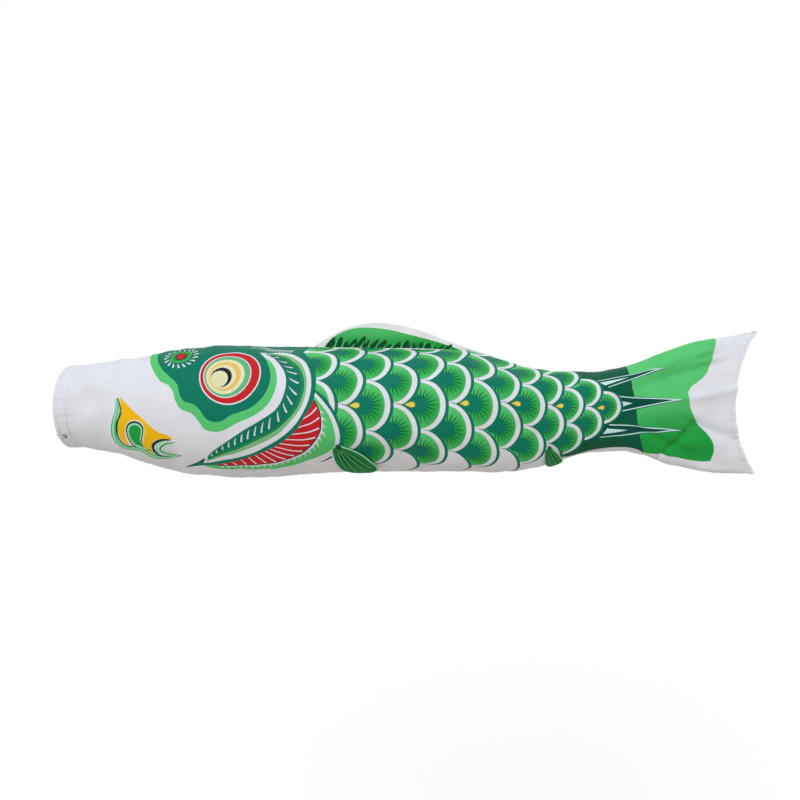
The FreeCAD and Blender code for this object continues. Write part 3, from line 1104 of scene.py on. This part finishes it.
def flame_print(cloth):
    """Flame on the snout, with its green lines, drop and hook."""
    cloth.add(flat(np.vstack([smooth(FLAME_TOP), smooth(FLAME_UNDER)[1:-1]])), "yellow")
    band = flat(smooth(FLAME_BAND))
    cloth.add(stroke(band, 2.6, 3.4, 10.5), "green")
    cloth.add(stroke(band, 1.4, 2.0, 8.0), "mint")
    cloth.add(stroke(band + (0.6, 0.4), 0.4, 0.6, 2.8), "leaf")
    cloth.add(stroke(flat(smooth(FLAME_INK)), 1.2, 1.6, 2.4), "ink")
    shape = np.vstack([DROP_RIGHT[::-1], ellipse(DROP_TOP, 13.4, 11.5, 2.5, 10, 170), DROP_LEFT])
    outline = flat(smooth(shape))
    middle = flat([(119, -36)])[0]
    cloth.add((outline - middle) * 1.1 + middle, "cream")
    cloth.add(outline, "ink")
    cloth.add((outline - middle) * 0.86 + middle, "mint")
    cloth.add((outline - middle) * 0.68 + middle + (0.3, 0.5), "green")
    hem = flat(smooth(FLAME_HEM))
    cloth.add(stroke(hem, 4.0, 1.6, 9.0), "green")
    cloth.add(stroke(hem, 2.4, 0.6, 5.6), "mint")
    for line, ends, middle_width, colour in ((HOOK_INK, 1.4, 4.4, "ink"), (HOOK_MINT, 1.0, 3.8, "mint"),
                                             (HOOK_GREEN, 0.8, 3.0, "green"),
                                             (HOOK_INNER, 0.6, 1.8, "mint")):
        cloth.add(stroke(flat(smooth(line)), ends, ends, middle_width), colour)


def side_print():
    """Everything printed on one side of the fish, the lowest first."""
    cloth = Print("cloth")
    tail_print(cloth)
    scales(cloth)
    gill_print(cloth)
    head_print(cloth)
    flame_print(cloth)
    return cloth


# ---------------------------------------------------------------- sides of the tube

def side_border():
    """Closed flat outline of one side's cloth, seam allowances included."""
    turns = np.linspace(-math.pi / 2, math.pi / 2, 70)
    edge_x = tail_edge_x(turns, TAIL_HEM_WIDTH - 0.8)
    edge = np.column_stack([edge_x, girth(edge_x, turns)])
    low_x = np.arange(HEM_END, edge_x[0], 4.0)
    high_x = np.arange(edge_x[-1], HEM_END, -4.0)
    lower = np.column_stack([low_x, -quarter(low_x) - SEAM_ALLOWANCE])
    upper = np.column_stack([high_x, quarter(high_x) + SEAM_ALLOWANCE])
    front_w = np.linspace(quarter(HEM_END), -quarter(HEM_END), 60)
    front = np.column_stack([np.full(60, HEM_END), front_w])
    return np.vstack([lower, edge, upper, front])


def guide_lines():
    """Edges along the two seams and across the cloth where its lengths meet."""
    lines = []
    x = np.arange(HEM_END, TAIL_CLOTH_END, 4.0)
    for sign in (-1, 1):
        for inset in (0, 1.5, 3.5):
            lines.append(np.column_stack([x, sign * (quarter(x) - inset)]))
    for name, start, end, *rest in LENGTHS[1:]:
        reach = float(quarter(start)) + SEAM_ALLOWANCE
        lines.append(straight([(start, -reach), (start, reach)]))
    starts = np.vstack([line[:-1] for line in lines])
    ends = np.vstack([line[1:] for line in lines])
    return starts, ends


def side_grid():
    """Even grid over the side, closer near the mouth and in the tail."""
    reach = 160
    body = lattice((22, -reach), (1000, reach), 5.2)
    fine = np.vstack([lattice((HEM_END + 1.5, -reach), (60, reach), 2.6),
                      lattice((905, -reach), (1000, reach), 3.4)])
    coarse = body[(body[:, 0] > 60) & (body[:, 0] < 905)]
    return np.vstack([fine, coarse])


def build_sides():
    """Five printed lengths of cloth on each side."""
    cloth = side_print()
    area_starts, area_ends = cloth.edges()
    guide_starts, guide_ends = guide_lines()
    edges = (np.vstack([area_starts, guide_starts]), np.vstack([area_ends, guide_ends]))
    points, triangles = triangulate([side_border()], edges, side_grid())
    colours = cloth.colours(points, triangles)
    centre_x = points[triangles].mean(axis=1)[:, 0]
    for side_name, side in SIDES.items():
        for name, start, end, first, second, bend, nodes in LENGTHS:
            mine = (centre_x >= start) & (centre_x < end)
            piece = cloth_object(f"{name}_cloth_{side_name}", points, triangles[mine], colours[mine],
                                 lambda p: cloth_place(p, side), side == RIGHT, CLOTH,
                                 [OUTSIDE, INSIDE])
            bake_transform(piece)
            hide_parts(*[f"{node}_{side_name}" for node in nodes])
            declare_length(start, min(end, TAIL_TIP_UPPER[0]))


def flat_area(points, triangles):
    """Area in square metres of a flat cut."""
    a, b, c = (points[triangles[:, k]] for k in range(3))
    u, v = b - a, c - a
    return float(np.abs(u[:, 0] * v[:, 1] - u[:, 1] * v[:, 0]).sum() / 2 * MM * MM)


def declare_length(start, end):
    """Work out the flat height of a length of side cloth; the result is not kept or reported."""
    x = np.linspace(start, end, 80)
    height = 2 * (quarter(x) + SEAM_ALLOWANCE)


# ---------------------------------------------------------------- mouth

def hem_path():
    """Way round the hem's fold, from its outer end to its inner end: distance from the mouth, and
    how far inside the form."""
    outer = [(x, 0.0) for x in np.arange(HEM_END, HOOP_X, -1.2)]
    angles = np.radians(np.arange(90, 271, 15))
    fold_arc = [(HOOP_X + FOLD_RADIUS * math.cos(a), FOLD_RADIUS - FOLD_RADIUS * math.sin(a))
                for a in angles]
    inner = [(x, 2 * FOLD_RADIUS - (x - HOOP_X) * 0.348) for x in np.arange(4, 16, 1.2)]
    tip = [(16, 1.0), (17.5, 1.0), (HEM_END, 1.0)]
    return np.array(outer + fold_arc + inner + tip)


HOLE_X = 11
HOLE_RADIUS = 2
HOLE_BELOW = 44         # degrees below the horizontal
HEM_CLOTH = 0.45
CHANNEL_X = 7.2         # row of stitches that closes the hoop's channel
HEM_ROW_X = 16          # row of stitches near the end of the hem
MOUTH_STEPS = 700       # points round each row of stitches


def hem_place(points):
    """Points in metres of the hem's flat places: distance along its path, and round the mouth."""
    path = hem_path()
    steps = distances(path)
    reached, around = points.T
    x = np.interp(reached, steps, path[:, 0])
    inside_form = np.interp(reached, steps, path[:, 1])
    angle = around / HOOP_RADIUS
    turn = math.pi / 2 - angle
    bulge = np.exp(-((x - 10) / 6) ** 2) * 0.9 * wander(x / 30, around / 5.0, 21.0)
    groove = 1.1 * np.exp(-((x - CHANNEL_X) / 1.1) ** 2) + 0.4 * np.exp(-((x - HEM_ROW_X) / 1.1) ** 2)
    ripple = ramp(x, -0.5, 6) * (0.45 * wander(x / 12, around / 9, 5.0) + np.maximum(bulge, -0.25))
    ripple -= groove * (inside_form < 0.5)
    on_left = np.sin(angle) >= 0
    folded = np.where(on_left, turn, math.pi - turn)
    folded = (folded + math.pi) % (2 * math.pi) - math.pi
    side = np.where(on_left, LEFT, RIGHT)
    w = girth(np.full(len(x), float(HEM_END)), folded)
    meet = np.where(on_left, relief(np.full(len(x), float(HEM_END)), w, LEFT),
                    relief(np.full(len(x), float(HEM_END)), w, RIGHT))
    lift = -inside_form + ripple + meet * ramp(x, 8, HEM_END)
    middle, tall, wide = section(x)
    placed = np.column_stack([x, side * (wide + lift) * np.cos(folded),
                              middle + (tall + lift) * np.sin(folded)])
    return placed * MM


def build_hem():
    """The mouth's folded hem, with its puckers, its bridle holes and a ring of painted shade round each
    hole.
    """
    path = hem_path()
    steps = distances(path)
    length, round_it = steps[-1], 2 * math.pi * HOOP_RADIUS
    border = straight([(0, 0), (length, 0), (length, round_it), (0, round_it), (0, 0)], 2.4)[:-1]
    holes = []
    outer_half = len(path) // 2
    outward = steps[int(np.argmin(np.abs(path[:outer_half, 0] - HOLE_X)))]
    inward = steps[outer_half + int(np.argmin(np.abs(path[outer_half:, 0] - HOLE_X)))]
    for degrees in (90 + HOLE_BELOW, 270 - HOLE_BELOW):
        for reached in (outward, inward):
            centre = (reached, math.radians(degrees) * HOOP_RADIUS)
            holes.append(ellipse(centre, HOLE_RADIUS, HOLE_RADIUS, 0.8))
    plain = Print("cloth")
    for hole in holes:
        # darker ring of painted shade round each bridle hole
        middle = hole.mean(0)
        plain.add((hole - middle) * 1.55 + middle, "hole_shade")
    grid = lattice((1.2, 1.2), (length - 1, round_it - 1), 2.0)
    points, triangles = triangulate([border] + holes, plain.edges(), grid, 1.0)
    colours = plain.colours(points, triangles)
    piece = cloth_object("mouth_hem_cloth", points, triangles, colours, hem_place, True, HEM_CLOTH,
                         [OUTSIDE, OUTSIDE])
    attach(piece, "mouth")
    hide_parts("mouth_hem")
    return piece


def stitch_row(name, feet, outward, body, gap=1.1, length=2.5, radius=0.24):
    """Row of thread stitches along a line of feet; outward gives the cloth's direction at each."""
    steps = distances(feet)
    pitch = (length + gap) * MM
    parts = []
    for k in range(int(steps[-1] / pitch)):
        places = (k + np.array([0.02, 0.2, 0.5, 0.8, 0.98]) * length / (length + gap)) * pitch
        line = np.column_stack([np.interp(places, steps, feet[:, i]) for i in range(3)])
        up = np.array([np.interp(places[2], steps, outward[:, i]) for i in range(3)])
        heights = np.array([-0.25, 0.12, 0.2, 0.12, -0.25]) * MM
        line = line + up * heights[:, None]
        parts.append(tube(line, np.array([0.6, 1, 1, 1, 0.6]) * radius * MM, 6))
    vertices, faces = joined(parts)
    piece = mesh_object(name, vertices, faces, [SEWING_THREAD])
    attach(piece, body)
    return piece


def build_mouth_stitches():
    """Rows of stitches round the mouth: behind the hoop, and near the end of the hem."""
    path = hem_path()
    steps = distances(path)
    around = np.linspace(0.5, 2 * math.pi * HOOP_RADIUS - 0.5, MOUTH_STEPS)
    for name, x in (("channel", CHANNEL_X), ("hem", HEM_ROW_X)):
        reached = float(np.interp(-x, -path[:14, 0], steps[:14]))
        feet = hem_place(np.column_stack([np.full(MOUTH_STEPS, reached), around]))
        outward = feet * (0, 1, 1)
        outward /= np.linalg.norm(outward, axis=1)[:, None]
        stitch_row(f"mouth_{name}_stitches", feet, outward, "mouth")


TIE_ROUTE = [(11, 61.2), (-1.4, 60.4), (-1.4, 51.8), (3.4, 51.8), (11, 55.2)]
TIE_STRANDS = 3
TIE_RADIUS = 0.9
TIE_TURNS = 9
KNOT_X = 5.2
KNOT_OUT = 61.6         # from the fish's middle line
KNOT_CORD = 0.62
STRAND_RADIUS = 0.47


def route_line(name, points, cyclic):
    """Points of the smooth NURBS line that has these points as its control points."""
    data = bpy.data.curves.new(name, "CURVE")
    data.dimensions = "3D"
    spline = data.splines.new("NURBS")
    spline.points.add(len(points) - 1)
    for point, place in zip(spline.points, points):
        point.co = (*place, 1)
    spline.use_cyclic_u = cyclic
    spline.order_u = 3
    spline.use_endpoint_u = not cyclic
    spline.resolution_u = 24
    obj = bpy.data.objects.new(name, data)
    bpy.context.scene.collection.objects.link(obj)
    bpy.context.view_layer.update()
    shown = obj.evaluated_get(bpy.context.evaluated_depsgraph_get())
    mesh = bpy.data.meshes.new_from_object(shown)
    line = np.array([tuple(v.co) for v in mesh.vertices])
    bpy.data.objects.remove(obj)
    return line


def twisted(line, turns, closed):
    """Strands twisted round a line."""
    count = len(line)
    run = directions(line, closed)
    normal = np.cross(run[0], (1.0, 0.2, 0.1))
    frames = []
    for direction in run:
        normal = normal - direction * (normal @ direction)
        normal = normal / np.linalg.norm(normal)
        frames.append((normal, np.cross(direction, normal)))
    parts = []
    for k in range(TIE_STRANDS):
        path = []
        for i, (across, other) in enumerate(frames):
            angle = 2 * math.pi * (turns * i / count + k / TIE_STRANDS)
            offset = math.cos(angle) * across + math.sin(angle) * other
            path.append(line[i] + offset * (TIE_RADIUS - STRAND_RADIUS) * MM)
        parts.append(tube(path, STRAND_RADIUS * MM, 7, closed))
    return parts


def knot_parts(centre, outward, size):
    """Small overhand knot of the tie's cord."""
    t = np.linspace(0, 2 * math.pi, 90, endpoint=False)
    loop = np.column_stack([np.sin(t) + 2 * np.sin(2 * t), np.cos(t) - 2 * np.cos(2 * t),
                            -np.sin(3 * t)]) * size
    along_x = np.array([1.0, 0, 0])
    sideways = np.cross(outward, along_x)
    placed = centre + loop[:, :1] * along_x + loop[:, 1:2] * sideways + loop[:, 2:] * outward
    return [tube(placed, KNOT_CORD * MM, 8, True)]


def build_rim_ties():
    """Twisted cord loops through the bridle holes and over the rim."""
    for side_name, side in SIDES.items():
        below = math.radians(HOLE_BELOW)
        outward = np.array([0, side * math.cos(below), -math.sin(below)])
        corners = [np.array([x, 0, 0]) * MM + outward * radius * MM for x, radius in TIE_ROUTE]
        line = route_line(f"tie_route_{side_name}", corners, True)
        parts = twisted(line, TIE_TURNS, True)
        knot = np.array([KNOT_X, 0, 0]) * MM + outward * KNOT_OUT * MM
        parts += knot_parts(knot, outward, KNOT_CORD * MM)
        vertices, faces = joined(parts)
        piece = mesh_object(f"rim_tie_cord_{side_name}", vertices, faces, [TIE_CORD])
        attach(piece, "mouth")
        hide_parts(f"rim_tie_{side_name}")


# ---------------------------------------------------------------- tail hem

def build_tail_hems():
    """Doubled and stitched cloth along the concave tail edge."""
    turns = np.linspace(-math.pi / 2, math.pi / 2, 150)
    outer = [(inset, 0.32) for inset in (7.4, 6.8, 5.6, 4.2, 2.8, 1.6, 0.7)]
    fold_arc = [(0.5 - 0.5 * math.cos(a), -0.17 + 0.49 * math.sin(a))
                for a in np.radians((60, 30, 0, -30, -60))]
    inner = [(inset, -0.66) for inset in (0.7, 1.6, 2.8, 4.2, 5.6, 7.4)]
    path = outer + fold_arc + inner
    for side_name, side in SIDES.items():
        rows, places = [], []
        for inset, lift in path:
            x = tail_edge_x(turns, inset)
            w = girth(x, turns)
            edge_x = tail_edge_x(turns, TAIL_HEM_WIDTH)
            creased = 0.35 * np.exp(-((inset - 3.5) / 3.0) ** 2) * wander(w / 3.4, edge_x / 50, 31.0 + side)
            row = on_form(x, turns, side, relief(x, w, side) + lift + creased)
            row[:, 1] = side * np.maximum(side * row[:, 1], SEAM_CLEARANCE * MM)
            rows.append(row)
            places.append(np.column_stack([x, w]))
        vertices = np.vstack(rows)
        count, columns = len(path), len(turns)
        faces = []
        for i in range(count - 1):
            for k in range(columns - 1):
                a, b = i * columns + k, (i + 1) * columns + k
                faces.append((a, b, b + 1, a + 1) if side == LEFT else (a, a + 1, b + 1, b))
        piece = mesh_object(f"tail_hem_cloth_{side_name}", vertices, faces, [OUTSIDE])
        dress_white(piece, np.vstack(places))
        solid = piece.modifiers.new("cloth", "SOLIDIFY")
        solid.thickness = 0.27 * MM
        solid.offset = -1.0
        finished(piece)
        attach(piece, "tail_end")
        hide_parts(f"tail_hem_{side_name}")
        feet_x = tail_edge_x(turns, 5.6)
        feet_w = girth(feet_x, turns)
        feet = on_form(feet_x, turns, side, relief(feet_x, feet_w, side) + 0.35)
        raised = on_form(feet_x, turns, side, relief(feet_x, feet_w, side) + 1.35)
        stitch_row(f"tail_stitches_{side_name}", feet[2:-2], (raised - feet)[2:-2] / MM, "tail_end")


def dress_white(piece, places):
    """Plain white print and flat coordinates for a mesh with one place per vertex."""
    mesh = piece.data
    corners = np.zeros(len(mesh.loops), np.int32)
    mesh.loops.foreach_get("vertex_index", corners)
    dress(mesh, places[corners], np.tile(DYES["cloth"], (len(corners), 1)))


# ---------------------------------------------------------------- fins

FIN_THICK = 0.6
DORSAL_BASE = (356, 616)
DORSAL_EDGE = [(389, 108), (417, 118), (453, 121.7), (502, 113), (538, 100), (576, 86)]
DORSAL_GREEN = [(368, 80), (371, 88), (382, 100), (397, 109), (414, 114), (433, 115), (461, 112.5),
                (483, 107.5), (509, 101), (538, 93), (564, 84), (578, 76)]


def dorsal_outline():
    """Closed side outline of the dorsal fin, its base tucked into the back seam."""
    base_x = np.linspace(*DORSAL_BASE, 60)
    base = np.column_stack([base_x, profile(base_x, BACK) - 0.6])
    start, end = base[0] + (0, 2.1), base[-1] + (0, 2.1)
    top = smooth([tuple(start)] + DORSAL_EDGE + [tuple(end)])
    return np.vstack([base, top[::-1]])


def dorsal_place(points):
    """Points in metres of the dorsal fin: gathered at its base, waving at its free edge."""
    x, z = points.T
    height = np.maximum(z - profile(x, BACK), 0)
    gathers = 0.9 * wander(x / 3.6, height / 40, 41.0) * np.exp(-height / 9)
    waves = 0.055 * height * wander(x / 17, height / 60, 43.0)
    lean = 0.0016 * height ** 2
    return np.column_stack([x, gathers + waves - lean, z]) * MM


def dorsal_print():
    """White border, green field, and at the base darker patches of painted shade and light lines of painted
    highlight along the gathers.
    """
    # fin ground: the cloth's white painted lighter, standing in for light the fin doesn't get
    cloth = Print("fin_lit_white")

    def field(points):
        height = ramp(points[:, 1], 88, 112)[:, None]
        return DYES["green"] * (1 - height) + DYES["leaf"] * height

    cloth.add(np.vstack([smooth(DORSAL_GREEN), [(578, 60), (368, 60)]]), field)
    # darker patches along the base: painted shade between the gathers
    for k in range(17):
        foot = np.array([372 + 11.0 * k, 76.0])
        size = 1 - 0.03 * k
        reach = 25 + 3.5 * math.sin(2.1 * k) + 2.5 * math.sin(5.3 * k)
        long = np.array([0.5 * reach, reach]) * size
        cloth.add(stroke(straight([foot, foot + long], 6), 13.0, 2.5, 11.5), "fin_dark")
    # light lines along the base: painted highlights on the gathers
    for k in range(15):
        foot = np.array([380 + 12.0 * k + 2 * math.sin(5 * k), 77.0])
        size = 1 - 0.03 * k
        long = np.array([12, 22 + 6 * math.sin(1.7 * k + 1)]) * size
        cloth.add(stroke(straight([foot, foot + long], 6), 2.6, 0.6, 2.2), "leaf")
    return cloth


def build_dorsal_fin():
    """Flat two-layer fin sewn into the back seam."""
    cloth = dorsal_print()
    grid = lattice((350, 66), (622, 126), 3.0)
    points, triangles = triangulate([dorsal_outline()], cloth.edges(), grid, 1.0)
    colours = cloth.colours(points, triangles)
    piece = cloth_object("dorsal_fin_cloth", points, triangles, colours, dorsal_place, False,
                         FIN_THICK, [FIN_OUTSIDE, FIN_OUTSIDE], 0.0)
    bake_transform(piece)
    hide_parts("dorsal_fin")


# Hanging fins: outline, where the flap is sewn on, which way it hangs, bodies, stripes
HANGING_FINS = {
    "pectoral_fin": dict(
        edge=[(388, -56), (394, -50), (402, -51), (425, -64), (449, -84), (441, -92), (420, -94.5),
              (402, -92), (391, -78)],
        hinge=(394, -48.5), hang=(0.51, -0.80), body="trunk", slack=4.0, beside="gill",
        tips=[(440, -86), (430, -90), (417, -92), (405, -89)], stripe=2.2),
    "pelvic_fin": dict(
        edge=[(681, -57), (685, -53), (690, -54), (709, -68), (709, -74), (698, -79), (686, -76)],
        hinge=(685, -51), hang=(0.50, -0.83), body="hip", slack=2.5, beside="loin",
        tips=[(706, -70), (701, -75), (693, -76)], stripe=1.5),
}
FIN_LIFT = 1.5


def fin_place(points, side, fin):
    """Points in metres of a hanging fin: held at its root, standing off the side towards its tip."""
    x, z = points.T
    middle, tall, wide = section(x)
    turn = np.arcsin(np.clip((z - middle) / tall, -1, 1))
    hinge, hang = np.array(fin["hinge"]), np.array(fin["hang"])
    reach = np.maximum((points - hinge) @ hang, 0)
    length = max((np.array(fin["edge"]) - hinge) @ hang)
    flare = fin["slack"] * (reach / length) ** 1.7
    curl = 0.5 * wander(x / 7, z / 9, 51.0 + side) * reach / length
    lift = relief(x, girth(x, turn), side) + FIN_LIFT + flare + curl
    return on_form(x, turn, side, lift)


def fin_print(fin):
    """Green flap with a mint edge, dark root and light stripes that fan out from the root."""
    outline = smooth(fin["edge"], closed=True, step=1.5)
    cloth = Print("mint")
    middle = outline.mean(0)
    inset = (outline - middle) * (0.955, 0.93) + middle + (-0.5, -0.9)
    cloth.add(inset, "fin")
    root = np.array(fin["hinge"]) + np.array(fin["hang"]) * (fin["stripe"] * 3)
    for k, tip in enumerate(fin["tips"]):
        bow = (root + np.array(tip)) / 2 + (-1.0 - k, -1.0)
        line = smooth([tuple(root + (0.5 - k, -1.5 * k)), tuple(bow), tip], step=2)
        cloth.add(stroke(line, fin["stripe"] * 1.6, fin["stripe"] * 1.4, fin["stripe"] * 2.4), "fin_dark")
        cloth.add(stroke(line, fin["stripe"] * 0.3, fin["stripe"] * 0.7, fin["stripe"] * 0.9),
                  "fin_light")
    size = fin["stripe"] * 1.9
    cloth.add(ellipse(root + (-0.6, 1.0), size, size * 0.85, 1.0), "fin_dark")
    return cloth, outline


def build_hanging_fins():
    """Left and right pectoral and pelvic fins."""
    for fin_name, fin in HANGING_FINS.items():
        cloth, outline = fin_print(fin)
        low, high = outline.min(0), outline.max(0)
        points, triangles = triangulate([outline], cloth.edges(), lattice(low, high, 1.8), 0.7)
        colours = cloth.colours(points, triangles)
        for side_name, side in SIDES.items():
            piece = cloth_object(f"{fin_name}_cloth_{side_name}", points, triangles, colours,
                                 lambda p: fin_place(p, side, fin), side == RIGHT, FIN_THICK,
                                 [FIN_OUTSIDE, FIN_OUTSIDE], 0.0)
            hinge = fin_place(np.array([fin["hinge"]]), side, fin)[0]
            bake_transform(piece)
            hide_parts(f"{fin_name}_{side_name}")
            cut = flat(outline)
            flat_area(flat(points), triangles)


# ---------------------------------------------------------------- stage

FLOOR = -0.95
MIDDLE = 0.5            # of the fish's length
SKY_LIGHT = 0.70        # strength of the light from all round
CAMERA_PLACE = (0.480, -1.100, 0.0095)
CAMERA_LENS = 33.95


def build_stage():
    """Pale floor, soft light, the camera, and surroundings that look whiter than the light they give."""
    rings, spokes, radius = 24, 96, 9.0
    vertices = [(MIDDLE, 0, FLOOR)]
    for i in range(1, rings + 1):
        size = radius * (i / rings) ** 2
        for k in range(spokes):
            angle = 2 * math.pi * k / spokes
            vertices.append((MIDDLE + size * math.cos(angle), size * math.sin(angle), FLOOR))
    faces = [(0, 1 + k, 1 + (k + 1) % spokes) for k in range(spokes)]
    for i in range(rings - 1):
        a, b = 1 + i * spokes, 1 + (i + 1) * spokes
        for k in range(spokes):
            n = (k + 1) % spokes
            faces.append((a + k, b + k, b + n, a + n))
    floor = mesh_object("floor", vertices, faces, [floor_paint()])

    world = bpy.data.worlds.new("studio")
    world.use_nodes = True
    bpy.context.scene.world = world
    nodes = Nodes(world.node_tree, "World")
    seen = nodes.node("Background", {"Strength": 1.0, "Color": (1, 1, 1, 1)})
    cast = nodes.node("Background", {"Strength": SKY_LIGHT, "Color": (0.97, 0.98, 1.0, 1)})
    nodes.finish(nodes.seen_and_cast(seen, cast))

    lamp("key", (-0.4, -2.3, 1.7), 1.35, 40, (1.0, 0.99, 0.97))
    lamp("fill", (1.4, 2.4, 2.2), 0.6, 70, (0.96, 0.98, 1.0))

    camera_data = bpy.data.cameras.new("camera")
    camera_data.sensor_width = 36
    camera_data.lens = CAMERA_LENS
    camera_data.clip_start = 0.01
    camera_data.clip_end = 60
    camera = bpy.data.objects.new("camera", camera_data)
    camera.location = CAMERA_PLACE
    camera.rotation_euler = (math.pi / 2, 0, 0)
    bpy.context.scene.collection.objects.link(camera)
    bpy.context.scene.camera = camera
    bpy.context.scene.view_settings.view_transform = "Standard"


def lamp(name, place, strength, spread, colour):
    """Broad soft light that shines from a place to the middle of the fish."""
    data = bpy.data.lights.new(name, "SUN")
    data.energy = strength
    data.angle = math.radians(spread)
    data.color = colour
    obj = bpy.data.objects.new(name, data)
    obj.location = place
    aim = Vector((MIDDLE, 0, 0)) - Vector(place)
    obj.rotation_mode = "QUATERNION"
    obj.rotation_quaternion = aim.to_track_quat("-Z", "Y")
    bpy.context.scene.collection.objects.link(obj)


def floor_paint():
    """Pale matt floor. It looks white in the picture, and it throws less light up than it would."""
    material, nodes = new_material("pale_floor")
    pale = nodes.node("BsdfDiffuse", {"Color": (0.97, 0.97, 0.97, 1)})
    dim = nodes.node("BsdfDiffuse", {"Color": (0.61, 0.56, 0.49, 1)})
    nodes.finish(nodes.seen_and_cast(pale, dim))
    return material


def repaint(node, material):
    """Give a carried-over CAD node its finished material."""
    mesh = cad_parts[node].data
    mesh.materials.clear()
    mesh.materials.append(material)


build_stage()
settle_cloth()
build_sides()
build_hem()
build_mouth_stitches()
build_rim_ties()
build_tail_hems()
build_dorsal_fin()
build_hanging_fins()
repaint("mouth_hoop", WIRE_COAT)
repaint("hoop_joiner", SLEEVE)
